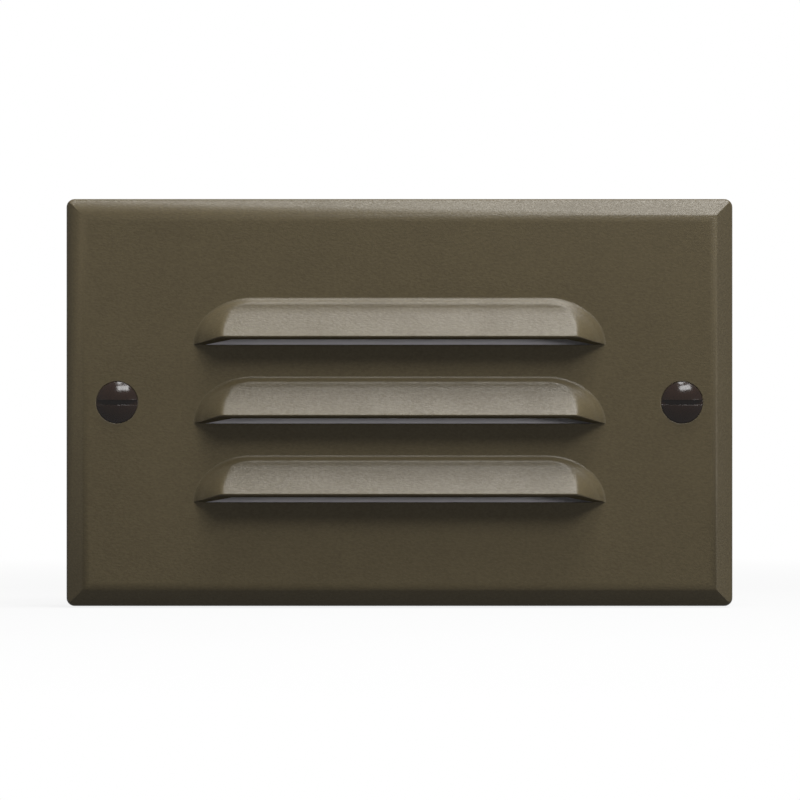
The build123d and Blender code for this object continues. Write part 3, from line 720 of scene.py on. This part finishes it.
    def cover(self, vert: bmesh.types.BMVert) -> None:
        """Draw a vertex of a slot's rim down to where the hood still covers it.

        Args:
            vert: the vertex, which stays where it is if the hood covers it.
        """
        x = vert.co.x / MM
        for lip in self.lip_heights:
            above, limit = vert.co.z / MM - lip, self.cover_limit(x)
            if abs(x) <= self.slot_half_width + self.slack and limit < above <= self.slot_top + self.slack:
                vert.co.z = (lip + limit) * MM

    def build(self, plate_mesh: bpy.types.Mesh) -> None:
        """Take the plain plate from the frame's mesh and set the softened hoods on its field.

        Args:
            plate_mesh: the mesh of the plate's node, which stays as it is.
        """
        plate = Shape()
        plate.bm.from_mesh(plate_mesh)
        bmesh.ops.remove_doubles(plate.bm, verts=plate.bm.verts, dist=SAME_SPOT)
        field = -self.field_height * MM
        raised = [face for face in plate.bm.faces if face.calc_center_median().y < field - SAME_SPOT]
        bmesh.ops.delete(plate.bm, geom=raised, context="FACES")
        rims = [edge for edge in plate.bm.edges if edge.is_boundary]
        for vert in {vert for edge in rims for vert in edge.verts}:
            self.cover(vert)
        bmesh.ops.triangle_fill(plate.bm, edges=rims, use_beauty=True, normal=(0, -1, 0))
        SHOP_LOG.info("plate: %d raised faces taken off, %d rim edges filled", len(raised), len(rims))
        for lip in self.lip_heights:
            self.hood(plate, lip)
        plate.weld(SAME_SPOT / 10)
        self.shop.deliver(plate, "cast_plate", Slot.BRONZE_PAINT, "plate", ("faceplate",), self.smooth)


@dataclass
class FaceScrews:
    """The two slotted oval-head screws that hold the plate, each held captive by its ring."""

    shop: Workshop
    spacing: float = 96.84
    head_radius: float = 3.55
    head_rim: float = 9.5
    dome: float = 1.15
    cone_height: float = 2.07
    shank_radius: float = 1.75
    thread_root: float = 1.42
    groove_radius: float = 1.35
    groove_front: float = 2.66
    groove_back: float = 1.74
    tip: float = -1.6
    pitch: float = 0.79375
    slot_width: float = 0.85
    slot_depth: float = 1.2
    slot_edge: float = 0.09
    slot_edge_angle: float = 50.0
    overrun: float = 1.0
    chamfer: float = 0.12
    crown_start: float = 0.2
    dome_steps: int = 10
    sides: int = 64
    weld_reach: float = 0.002

    def dome_profile(self) -> list[tuple[float, float]]:
        """The oval head's curve, from just off its crown to its rim.

        Returns:
            (radius, height) pairs.
        """
        sphere = (self.head_radius**2 + self.dome**2) / (2 * self.dome)
        middle = self.head_rim + self.dome - sphere
        last = self.dome_steps + self.crown_start
        radii = [self.head_radius * (i + self.crown_start) / last for i in range(self.dome_steps + 1)]
        return [(radius, middle + math.sqrt(sphere**2 - radius**2)) for radius in radii]

    def build(self) -> None:
        """Make both screws."""
        profile = self.dome_profile() + [
            (self.head_radius, self.head_rim - self.chamfer),
            (self.shank_radius, self.head_rim - self.cone_height),
            (self.shank_radius, self.groove_front + self.chamfer),
            (self.shank_radius - self.chamfer, self.groove_front),
            (self.groove_radius, self.groove_front),
            (self.groove_radius, self.groove_back),
        ]
        for side, x in (("left", -self.spacing / 2), ("right", self.spacing / 2)):
            shape, radii = Shape(), (self.thread_root, self.shank_radius)
            shape.lathe(profile, (x, 0), self.sides)
            shape.thread((x, 0), self.groove_back, self.tip, radii, self.pitch)
            name, body, node = f"{side}_screw_turned", f"{side}_screw", f"{side}_face_screw"
            screw = self.shop.deliver(shape, name, Slot.DARK_SCREW, body, (node,))
            self.cut_slot(screw, x)

    def cutter(self, x: float) -> bpy.types.Object:
        """The bar that is cut out of a head to leave the driver slot.

        Args:
            x: the screw's axis.

        Returns:
            The bar as an object in the scene.
        """
        crown = self.head_rim + self.dome
        half, reach = self.slot_width / 2, self.head_radius + self.overrun
        outline = [(-half, crown - self.slot_depth), (half, crown - self.slot_depth)]
        outline += [(half, crown + self.overrun), (-half, crown + self.overrun)]
        ends = [[Shape.at(end_x, height, z) for z, height in outline] for end_x in (x - reach, x + reach)]
        bar = Shape()
        bar.enclose([[bar.bm.verts.new(spot) for spot in end] for end in ends])
        bmesh.ops.recalc_face_normals(bar.bm, faces=bar.bm.faces)
        return bar.place("slot_cutter")

    def cut_slot(self, screw: bpy.types.Object, x: float) -> None:
        """Cut the driver slot through the head, with its edges taken off.

        Args:
            screw: the piece to cut.
            x: the screw's axis.
        """
        tool = self.cutter(x)
        cut = screw.modifiers.new("slot", "BOOLEAN")
        cut.operation = "DIFFERENCE"
        cut.solver = "EXACT"
        cut.object = tool
        ease = screw.modifiers.new("slot_edge", "BEVEL")
        ease.limit_method = "ANGLE"
        ease.angle_limit = math.radians(self.slot_edge_angle)
        ease.width = self.slot_edge * MM
        ease.segments = 2
        graph = bpy.context.evaluated_depsgraph_get()
        cut_mesh = bpy.data.meshes.new_from_object(screw.evaluated_get(graph))
        screw.modifiers.clear()
        screw.data = cut_mesh
        cleaned = Shape()
        cleaned.bm.from_mesh(cut_mesh)
        cleaned.weld(self.weld_reach * MM)
        cleaned.bm.to_mesh(cut_mesh)
        cleaned.bm.free()
        smoothed(cut_mesh, SHARP_ANGLE)
        bpy.data.objects.remove(tool)


@dataclass
class HexScrews:
    """A set of small hexagon-headed screws with a cross recess and a threaded shank.

    A head's size is its radius over the corners and its height. Way is 1 when the heads face the front.
    """

    name: str
    node: str
    body: str
    points: list[Point]
    seat: float
    way: int
    head_size: Point
    shank_radius: float
    grip: float
    slot: Slot = Slot.ZINC_SCREW
    pitch: float = 0.6
    # Shares of the head's height.
    shoulder: float = 0.78
    recess_depth: float = 0.62
    # Shares of the head's half width over its flats.
    crown: float = 0.9
    recess_arm: float = 0.58
    recess_bar: float = 0.15
    # The recess's floor as a share of its mouth, and the thread as shares of the shank's radius.
    recess_floor: float = 0.62
    crest: float = 0.98
    root: float = 0.8
    head_sides: int = 24
    shank_sides: int = 20
    smooth: float = 28.0

    def hexagon(self, centre: Point) -> list[Point]:
        """The head's outline, with as many points in it as the round crown has.

        Args:
            centre: the screw's axis.

        Returns:
            The points in order.
        """
        sixth = math.pi / 6
        points = []
        for i in range(self.head_sides):
            angle = 2 * math.pi * i / self.head_sides
            off_corner = (angle + sixth) % (2 * sixth) - sixth
            reach = self.head_size[0]
            if off_corner:
                reach *= math.cos(sixth) / math.cos(off_corner - math.copysign(sixth, off_corner))
            points.append((centre[0] + reach * math.cos(angle), centre[1] + reach * math.sin(angle)))
        return points

    def head(self, shape: Shape, centre: Point) -> None:
        """One head: a hexagon rounded off at the top, with a cross recess.

        Args:
            shape: the mesh to add to.
            centre: the screw's axis.
        """
        flat = self.head_size[0] * math.cos(math.pi / 6)
        rise = self.way * self.head_size[1]
        top = self.seat + rise
        hexagon = self.hexagon(centre)
        outer = shape.ring(hexagon, self.seat)
        upper = shape.ring(hexagon, self.seat + rise * self.shoulder)
        crown = shape.ring(circle(centre, flat * self.crown, self.head_sides), top)
        shape.skin(outer, upper)
        shape.skin(upper, crown)
        shape.bm.faces.new(outer)
        arm, bar = flat * self.recess_arm, flat * self.recess_bar
        cross = []
        for quarter in range(4):
            turn = quarter * math.pi / 2
            for along, across in ((arm, -bar), (arm, bar), (bar, bar)):
                x = along * math.cos(turn) - across * math.sin(turn)
                cross.append((x, along * math.sin(turn) + across * math.cos(turn)))
        mouth, floor = (
            shape.ring([(centre[0] + x * share, centre[1] + z * share) for x, z in cross], height)
            for share, height in ((1.0, top), (self.recess_floor, top - rise * self.recess_depth))
        )
        shape.skin(mouth, floor)
        shape.bm.faces.new(floor)
        rims = [loop_edge for loop in (crown, mouth) for loop_edge in closed_edges(shape.bm, loop)]
        bmesh.ops.triangle_fill(shape.bm, edges=rims, use_beauty=True, normal=(0, -self.way, 0))

    def build(self, shop: Workshop) -> None:
        """Make the whole set as one piece.

        Args:
            shop: the workshop that delivers it.
        """
        shape = Shape()
        tip = self.seat - self.way * self.grip
        radii = (self.shank_radius * self.root, self.shank_radius * self.crest)
        for centre in self.points:
            self.head(shape, centre)
            shape.thread(centre, self.seat, tip, radii, self.pitch, self.shank_sides)
        shop.deliver(shape, self.name, self.slot, self.body, (self.node,), self.smooth)


def closed_edges(bm: bmesh.types.BMesh, loop: list[bmesh.types.BMVert]) -> list[bmesh.types.BMEdge]:
    """The edges of a closed loop of vertices.

    Args:
        bm: the mesh that holds the loop.
        loop: its vertices in order.

    Returns:
        Its edges, made where they don't exist.
    """
    edges = []
    for first, second in zip(loop, loop[1:] + loop[:1]):
        edges.append(bm.edges.get((first, second)) or bm.edges.new((first, second)))
    return edges


def mirrored(x: float, z: float) -> list[Point]:
    """The four points at plus and minus x and z."""
    return [(-x, -z), (x, -z), (-x, z), (x, z)]


@dataclass
class LightEngine:
    """The LED board's phosphor, tracks and solder, and the two leads that feed it."""

    shop: Workshop
    board_front: float = -9.9
    led_top: float = -9.1
    led_count: int = 5
    led_pitch: float = 8.0
    window: float = 2.2
    window_depth: float = 0.25
    window_radius: float = 0.35
    least_corner: float = 0.1
    # The phosphor's dome as (inset, height over the window's rim).
    dome: tuple[Point, ...] = ((0.02, -0.06), (0.25, 0.0), (0.7, 0.04))
    corner_steps: int = 4
    track_size: Point = (2.1, 1.1)
    track_offset: float = 2.6
    pad_size: Point = (4.4, 2.0)
    pad_shift: Point = (1.4, 0.4)
    copper: float = 0.04
    copper_edge: float = 0.02
    joint_size: Point = (0.5, 2.2)
    joint_offset: float = 1.75
    joint_height: float = 0.22
    joint_edge: float = 0.12
    blob: tuple[Point, ...] = ((1.0, 0.0), (0.92, 0.25), (0.7, 0.5), (0.4, 0.66), (0.1, 0.72))
    blob_shift: float = 0.5
    blob_sides: int = 20
    lead_x: float = 21.0
    lead_start: float = -18.2
    lead_spacing: float = 2.6
    lead_reach: float = 4.6
    lead_bend: float = 1.3
    lead_radius: float = 0.65
    bare_length: float = 1.3
    bend_steps: int = 8
    core_radius: float = 0.34
    core_sink: float = 0.12
    core_overlap: float = 0.3
    core_end: float = 0.05
    round_smooth: float = 60.0
    solder_smooth: float = 50.0

    def led_centres(self) -> list[float]:
        """The x of each LED."""
        return [self.led_pitch * (i - (self.led_count - 1) / 2) for i in range(self.led_count)]

    def build(self) -> None:
        """Make every piece of the light engine that the nodes leave out."""
        phosphor, tracks, solder = Shape(), Shape(), Shape()
        front, copper = self.board_front, self.board_front + self.copper
        for x in self.led_centres():
            self.pool(phosphor, x)
            for way in (-1, 1):
                centre = (x + way * self.track_offset, 0)
                tracks.block(centre, self.track_size, front, copper, self.copper_edge)
                centre = (x + way * self.joint_offset, 0)
                solder.block(centre, self.joint_size, front, front + self.joint_height, self.joint_edge)
        for way in (-1, 1):
            z = way * (self.lead_spacing / 2 + self.lead_reach)
            centre = (self.lead_x - self.pad_shift[0], z - way * self.pad_shift[1])
            tracks.block(centre, self.pad_size, front, copper, self.copper_edge)
            centre = (self.lead_x, z - way * self.blob_shift)
            solder.lathe([(r, front + h) for r, h in self.blob], centre, self.blob_sides)
        shop, smooth = self.shop, self.round_smooth
        shop.deliver(phosphor, "led_phosphor_pools", Slot.LED_PHOSPHOR, "fixture", smooth=smooth)
        shop.deliver(tracks, "led_board_tracks", Slot.WHITE_BOARD, "fixture")
        shop.deliver(solder, "led_board_solder", Slot.SPRING_STEEL, "fixture", smooth=self.solder_smooth)
        self.lead("red", 1, Slot.RED_INSULATION)
        self.lead("black", -1, Slot.BLACK_INSULATION)

    def pool(self, shape: Shape, x: float) -> None:
        """The phosphor in one LED's window, a little domed.

        Args:
            shape: the mesh to add to.
            x: the middle of the LED.
        """
        half = self.window / 2
        layers = []
        for inset, lift in ((0.0, -self.window_depth), *self.dome):
            corner = max(half - inset - self.window_radius, self.least_corner)
            radius = half - inset - corner
            points = []
            for quarter, (side_x, side_z) in enumerate(((1, 1), (-1, 1), (-1, -1), (1, -1))):
                for step in range(self.corner_steps + 1):
                    angle = math.pi / 2 * (quarter + step / self.corner_steps)
                    across, along = corner * side_x, corner * side_z
                    points.append((x + across + radius * math.cos(angle), along + radius * math.sin(angle)))
            layers.append((points, self.led_top + lift))
        shape.stack(layers)

    def lead(self, colour: str, way: int, slot: Slot) -> None:
        """One insulated lead with its tinned end.

        Args:
            colour: the lead's colour, as in its node's name.
            way: 1 above the middle, -1 below it.
            slot: the insulation's slot.
        """
        z_start = way * self.lead_spacing / 2
        height = self.board_front + self.lead_radius
        end = self.lead_spacing / 2 + self.lead_reach
        path = [Shape.at(self.lead_x, self.lead_start, z_start)]
        for step in range(self.bend_steps + 1):
            angle = math.pi / 2 * step / self.bend_steps
            up = height - self.lead_bend * (1 - math.sin(angle))
            path.append(Shape.at(self.lead_x, up, z_start + way * self.lead_bend * (1 - math.cos(angle))))
        path.append(Shape.at(self.lead_x, height, way * (end - self.bare_length)))
        sleeve = Shape()
        sleeve.tube(path, self.lead_radius)
        name, node, smooth = f"led_lead_{colour}_sleeve", f"led_lead_{colour}", self.round_smooth
        self.shop.deliver(sleeve, name, slot, "fixture", (node,), smooth)
        core = Shape()
        sunk = height - self.core_sink
        start = Shape.at(self.lead_x, sunk, way * (end - self.bare_length - self.core_overlap))
        tip = Shape.at(self.lead_x, sunk, way * (end - self.core_end))
        core.tube([start, start.lerp(tip, 0.5), tip], self.core_radius)
        self.shop.deliver(core, f"{node}_core", Slot.SPRING_STEEL, "fixture", smooth=smooth)


@dataclass(frozen=True)
class Package:
    """A part on the driver board with legs on two of its sides."""

    at: Point
    leg_places: tuple[float, ...]
    half_size: float
    leg_lift: float
    leg_width: float


@dataclass
class Driver:
    """What sits on the driver board: capacitor, inductor, legs, tracks and clamp screws."""

    shop: Workshop
    board_back: float = -19.8
    capacitor_at: Point = (11.0, 8.0)
    capacitor_radius: float = 4.0
    capacitor_height: float = 9.5
    # Profiles as (inset from the radius, height over the board), for the top and the disc (inset, depth).
    can_foot: tuple[Point, ...] = ((0.35, 0.0), (0.0, 0.3), (0.0, 1.1), (0.3, 1.45), (0.3, 1.75), (0.0, 2.1))
    can_top: tuple[Point, ...] = ((0.0, 0.4), (0.15, 0.1), (0.6, 0.0), (0.75, 0.15))
    end_disc: tuple[Point, ...] = ((0.75, 0.4), (0.75, 0.1), (0.9, 0.06))
    score_reach: float = 1.1
    score_width: float = 0.16
    score_top: float = 0.01
    score_edge: float = 0.03
    can_smooth: float = 50.0
    round_sides: int = 48
    inductor_at: Point = (-12.0, 0.0)
    inductor_size: float = 11.0
    inductor_height: float = 7.0
    inductor_cut: float = 1.6
    ferrite: float = 1.3
    ferrite_edge: float = 0.2
    ferrite_taper: float = 0.96
    winding_turns: int = 7
    winding_steps: int = 6
    winding_radius: float = 4.75
    wire_bulge: float = 0.32
    winding_smooth: float = 70.0
    packages: tuple[Package, ...] = (
        Package((0.0, 8.5), (-2.5, 2.5), 3.0, 1.3, 0.9),
        Package((11.0, -6.0), (-1.9, -0.63, 0.63, 1.9), 2.0, 0.8, 0.4),
    )
    leg_thickness: float = 0.15
    leg_reaches: tuple[float, float, float] = (0.5, 0.7, 1.4)
    foot_lift: float = 0.1
    # Tracks as (middle, size).
    track_runs: tuple[tuple[Point, Point], ...] = (
        ((-5.2, -12.2), (10, 1.2)), ((5.2, 3.6), (1.2, 8)), ((-19, 3), (1.2, 9)), ((0, 12.9), (16, 0.9)),
        ((18.5, 2), (1.2, 12)), ((-6.2, 12.2), (0.9, 3)), ((14.6, -1.2), (5.4, 0.9)),
    )
    track_height: float = 0.05
    track_edge: float = 0.02
    resistors_at: tuple[Point, ...] = ((-2.2, 3.4), (2.4, 3.4), (17.5, -8), (17.5, -4.5), (-19, -6))
    resistor_size: Point = (2.0, 1.2)
    resistor_height: float = 0.55
    terminal_z: float = -9.0
    terminal_pitch: float = 5.1
    terminal_height: float = 8.4
    # The clamp screw's profile as (radius, depth under the terminal's face).
    clamp: tuple[Point, ...] = ((1.3, 0.6), (1.3, 0.3), (1.2, 0.2))
    clamp_sides: int = 24
    cage_size: Point = (1.7, 0.85)
    cage_offset: float = 0.72
    cage_depths: tuple[float, float] = (0.25, 0.06)
    small_edge: float = 0.06

    def build(self) -> None:
        """Make the driver's detail."""
        self.capacitor()
        self.inductor()
        self.legs()
        self.tracks()
        self.clamps()

    def capacitor(self) -> None:
        """Electrolytic can in its sleeve, with the crimp near its foot and a scored end."""
        radius, base = self.capacitor_radius, self.board_back
        top = base - self.capacitor_height
        can, end = Shape(), Shape()
        profile = [(radius - inset, base - height) for inset, height in self.can_foot]
        profile += [(radius - inset, top + depth) for inset, depth in self.can_top]
        can.lathe(profile, self.capacitor_at, self.round_sides)
        end.lathe([(radius - inset, top + depth) for inset, depth in self.end_disc], self.capacitor_at)
        reach, width = radius * self.score_reach, self.score_width
        disc = top + self.end_disc[1][1]
        for size in ((reach, width), (width, reach)):
            end.block(self.capacitor_at, size, disc, top + self.score_top, self.score_edge)
        name, node = "capacitor_can", "smoothing_capacitor"
        self.shop.deliver(can, name, Slot.CAPACITOR_SLEEVE, "fixture", (node,), self.can_smooth)
        self.shop.deliver(end, "capacitor_end", Slot.SPRING_STEEL, "fixture")

    def inductor(self) -> None:
        """Two ferrite plates with the winding between them."""
        half, short = self.inductor_size / 2, self.inductor_size / 2 - self.inductor_cut
        corners = [(half, -short), (half, short), (short, half), (-short, half)]
        corners += [(-half, short), (-half, -short), (-short, -half), (short, -half)]
        inner, outline = (
            [(self.inductor_at[0] + x * share, self.inductor_at[1] + z * share) for x, z in corners]
            for share in (self.ferrite_taper, 1.0)
        )
        edge, low, high = self.ferrite_edge, self.ferrite, self.inductor_height - self.ferrite
        ferrite, coil = Shape(), Shape()
        for foot, top in ((0.0, low), (high, self.inductor_height)):
            layers = [(inner, foot), (outline, foot + edge), (outline, top - edge), (inner, top)]
            ferrite.stack([(points, self.board_back - height) for points, height in layers])
        profile = []
        for step in range(self.winding_turns * self.winding_steps + 1):
            radius = self.winding_radius
            radius += self.wire_bulge * abs(math.sin(math.pi * step / self.winding_steps))
            climbed = (high - low) * step / (self.winding_turns * self.winding_steps)
            profile.append((radius, self.board_back - low - climbed))
        coil.lathe(profile, self.inductor_at, self.round_sides)
        self.shop.deliver(ferrite, "inductor_core", Slot.BLACK_EPOXY, "fixture", ("driver_inductor",))
        name, slot = "inductor_winding", Slot.COPPER_WINDING
        self.shop.deliver(coil, name, slot, "fixture", smooth=self.winding_smooth)

    def legs(self) -> None:
        """Tinned legs of the rectifier and the driver chip, bent down on to the board."""
        legs = Shape()
        for package in self.packages:
            for place in package.leg_places:
                for way in (-1, 1):
                    self.leg(legs, package, place, way)
        self.shop.deliver(legs, "driver_legs", Slot.SPRING_STEEL, "fixture")

    def leg(self, shape: Shape, package: Package, place: float, way: int) -> None:
        """One leg with its knee and its foot.

        Args:
            shape: the mesh to add to.
            package: the part that the leg belongs to.
            place: the leg's place along the package.
            way: which side of the package it is on.
        """
        knee, heel, toe = (package.half_size + reach for reach in self.leg_reaches)
        line = [(package.half_size, package.leg_lift), (knee, package.leg_lift)]
        line += [(heel, self.foot_lift), (toe, self.foot_lift)]
        line += [(reach, lift + self.leg_thickness) for reach, lift in reversed(line)]
        sides = []
        for end in (-package.leg_width / 2, package.leg_width / 2):
            x = package.at[0] + place + end
            spots = [Shape.at(x, self.board_back - lift, package.at[1] + way * reach) for reach, lift in line]
            sides.append([shape.bm.verts.new(spot) for spot in spots])
        shape.skin(sides[0], sides[1])
        for ring in sides:
            for i in range(3):
                shape.bm.faces.new((ring[i], ring[i + 1], ring[6 - i], ring[7 - i]))

    def tracks(self) -> None:
        """Tinned tracks and small resistors on the board's parts side."""
        copper, chips = Shape(), Shape()
        top = self.board_back - self.track_height
        for centre, size in self.track_runs:
            copper.block(centre, size, self.board_back, top, self.track_edge)
        top = self.board_back - self.resistor_height
        for centre in self.resistors_at:
            chips.block(centre, self.resistor_size, self.board_back, top, self.small_edge)
        self.shop.deliver(copper, "driver_tracks", Slot.SPRING_STEEL, "fixture")
        self.shop.deliver(chips, "driver_resistors", Slot.BLACK_EPOXY, "fixture")

    def clamps(self) -> None:
        """Clamp screws in the terminal's recesses, over steel cages in its wire mouths."""
        steel = Shape()
        face = self.board_back - self.terminal_height
        back, front = (face + depth for depth in self.cage_depths)
        for x in (-self.terminal_pitch / 2, self.terminal_pitch / 2):
            profile = [(radius, face + depth) for radius, depth in self.clamp]
            steel.lathe(profile, (x, self.terminal_z), self.clamp_sides)
            for side in (-1, 1):
                centre = (x, self.terminal_z + side * self.cage_offset)
                steel.block(centre, self.cage_size, back, front, self.small_edge)
        self.shop.deliver(steel, "terminal_clamps", Slot.ZINC_SCREW, "fixture")


@dataclass
class SmallScrews:
    """Every set of small screws in the light."""

    shop: Workshop
    lens_back: float = 4.2
    clip_thickness: float = 0.6
    strap_front: float = 1.5
    flange_front: float = 3.0
    led_board_front: float = -9.9
    driver_board_back: float = -19.8
    cover_back: float = -33.8

    def sets(self) -> list[HexScrews]:
        """The sets with their places and sizes.

        Returns:
            One entry for each node of small screws.
        """
        return [
            HexScrews(
                "clip_screws_cut", "lens_clip_screws", "plate", mirrored(41.0, 15.0),
                self.lens_back - self.clip_thickness, -1, (2.3, 1.2), 1.05, 3.4,
            ),
            HexScrews(
                "ground_screw_cut", "ground_screw", "fixture", [(-42.5, 23.0)],
                self.strap_front, 1, (3.6, 2.2), 2.0, 1.44, Slot.GREEN_SCREW,
            ),
            HexScrews(
                "yoke_screws_cut", "yoke_screws", "fixture", mirrored(26.0, 24.4),
                self.flange_front, 1, (2.3, 1.2), 1.4, 2.94,
            ),
            HexScrews(
                "led_screws_cut", "led_board_screws", "fixture", [(-12.0, 5.6), (12.0, -5.6)],
                self.led_board_front, 1, (2.0, 1.1), 1.2, 4.3,
            ),
            HexScrews(
                "driver_screws_cut", "driver_board_screws", "fixture", [(-21.5, 10.5), (21.5, -10.5)],
                self.driver_board_back, -1, (2.0, 1.1), 1.2, 4.2,
            ),
            HexScrews(
                "cover_screws_cut", "rear_cover_screws", "fixture", mirrored(28.9, 13.9),
                self.cover_back, -1, (2.2, 1.3), 1.2, 9.3,
            ),
        ]

    def build(self) -> None:
        """Make every set."""
        for screws in self.sets():
            screws.build(self.shop)


@dataclass(frozen=True)
class SoftBox:
    """One area lamp aimed at the middle of the plate. Lengths are in metres, power in watts."""

    name: str
    place: tuple[float, float, float]
    size: Point
    power: float

    def build(self) -> None:
        """Make the lamp."""
        data = bpy.data.lights.new(self.name, "AREA")
        data.shape = "RECTANGLE"
        data.size, data.size_y = self.size
        data.energy = self.power
        lamp = bpy.data.objects.new(self.name, data)
        lamp.location = self.place
        lamp.rotation_euler = (-Vector(self.place)).to_track_quat("-Z", "Y").to_euler()
        lamp.visible_camera = False
        bpy.context.scene.collection.objects.link(lamp)


@dataclass
class Studio:
    """Pale floor, white surroundings and soft light. Lengths are in metres."""

    floor_z: float = -0.0352
    floor_radius: float = 6.0
    floor_sides: int = 64
    floor_tone: float = 0.045
    floor_lift: float = 0.86
    clear_floor: tuple[float, float] = (0.18, 0.5)
    horizon: float = 0.1
    zenith: float = 0.04
    sky_band: tuple[float, float] = (0.12, 0.5)
    lamps: tuple[SoftBox, ...] = (
        SoftBox("key_light", (0.20, -0.54, 0.66), (0.52, 0.25), 9.8),
        SoftBox("over_light", (0.15, -0.16, 0.85), (0.6, 0.26), 13.2),
        SoftBox("right_light", (0.9, -0.75, 0.03), (0.4, 0.12), 3.0),
        SoftBox("left_light", (-0.9, -0.75, 0.03), (0.4, 0.12), 0.5),
    )

    def build(self) -> None:
        """Make the floor, the world and the lamps."""
        self.floor()
        self.world()
        for lamp in self.lamps:
            lamp.build()

    def seen_share(self, bench: NodeBench) -> Socket:
        """Tell the rays that show the surroundings, which are camera, glossy and transmission rays.

        Args:
            bench: the bench of the material or the world.

        Returns:
            The socket that is 1 for those rays and 0 for the others.
        """
        path = bench.add("LightPath")
        shiny = bench.math("MAXIMUM", (path, "Is Glossy Ray"), (path, "Is Transmission Ray"))
        return bench.math("MAXIMUM", (path, "Is Camera Ray"), shiny)

    def floor(self) -> None:
        """A wide pale disc that keeps the light's shadow."""
        shape = Shape()
        rim = circle((0, 0), self.floor_radius, self.floor_sides)
        shape.bm.faces.new([shape.bm.verts.new((x, y, self.floor_z)) for x, y in rim])
        disc = shape.place("floor")
        material = bpy.data.materials.new("pale_floor")
        material.use_nodes = True
        bench = NodeBench(material.node_tree)
        tone = self.floor_tone
        matte = bench.add("BsdfDiffuse", {"Color": (tone, tone, tone, 1.0)})
        lift = bench.add("Emission", {"Color": WHITE, "Strength": self.floor_lift})
        lifted = bench.add("AddShader", {0: (matte, "BSDF"), 1: (lift, "Emission")})
        white = bench.add("Emission", {"Color": WHITE, "Strength": 1.0})
        place = bench.add("TexCoord"), "Object"
        away = bench.add("VectorMath", {0: place}, operation="LENGTH"), "Value"
        clear = bench.mapped(away, *self.clear_floor, 0.0, 1.0)
        shown = bench.add("MixShader", {0: clear, 1: (lifted, "Shader"), 2: (white, "Emission")})
        mix = bench.add("MixShader", {0: self.seen_share(bench), 1: (matte, "BSDF"), 2: (shown, "Shader")})
        bench.add("OutputMaterial", {"Surface": (mix, "Shader")})
        disc.data.materials.append(material)

    def world(self) -> None:
        """White where it is seen or mirrored, and a soft pale sky for the light that it gives."""
        world = bpy.data.worlds.new("studio")
        world.use_nodes = True
        bpy.context.scene.world = world
        bench = NodeBench(world.node_tree)
        way = bench.add("SeparateXYZ", {"Vector": (bench.add("TexCoord"), "Generated")}), "Z"
        level = bench.mapped(bench.math("ABSOLUTE", way), *self.sky_band, self.horizon, self.zenith)
        soft = bench.add("Background", {"Color": WHITE, "Strength": level}), "Background"
        white = bench.add("Background", {"Color": WHITE, "Strength": 1.0}), "Background"
        mix = bench.add("MixShader", {0: self.seen_share(bench), 1: soft, 2: white})
        bench.add("OutputWorld", {"Surface": (mix, "Shader")})


@dataclass
class PhotoCamera:
    """The head-on long lens of the photograph. Lengths are in metres, the sensor in millimetres."""

    frame_width: float = 0.1371
    distance: float = 1.6
    aim: tuple[float, float] = (0.00009, 0.00043)
    plate_front: float = -0.0095
    sensor: float = 36.0
    clip_start: float = 0.05

    def build(self) -> None:
        """Make the camera and set it as the scene's own."""
        data = bpy.data.cameras.new("photo_camera")
        data.sensor_width = self.sensor
        data.lens = self.sensor * self.distance / self.frame_width
        data.clip_start = self.clip_start
        camera = bpy.data.objects.new("photo_camera", data)
        camera.location = (self.aim[0], self.plate_front - self.distance, self.aim[1])
        camera.rotation_euler = (math.pi / 2, 0, 0)
        bpy.context.scene.collection.objects.link(camera)
        bpy.context.scene.camera = camera


def main() -> None:
    logging.basicConfig(level=logging.INFO, format="%(name)s: %(message)s")
    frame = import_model()
    bpy.context.scene.view_settings.view_transform = "Standard"
    PhotoCamera().build()
    Studio().build()
    shop = Workshop()
    shop.dress_nodes(frame)
    SHOP_LOG.info("building CastPlate")
    CastPlate(shop).build(frame["nodes"]["faceplate"].data)
    for part in (FaceScrews(shop), SmallScrews(shop), LightEngine(shop), Driver(shop)):
        SHOP_LOG.info("building %s", type(part).__name__)
        part.build()


if __name__ == "__main__":
    main()
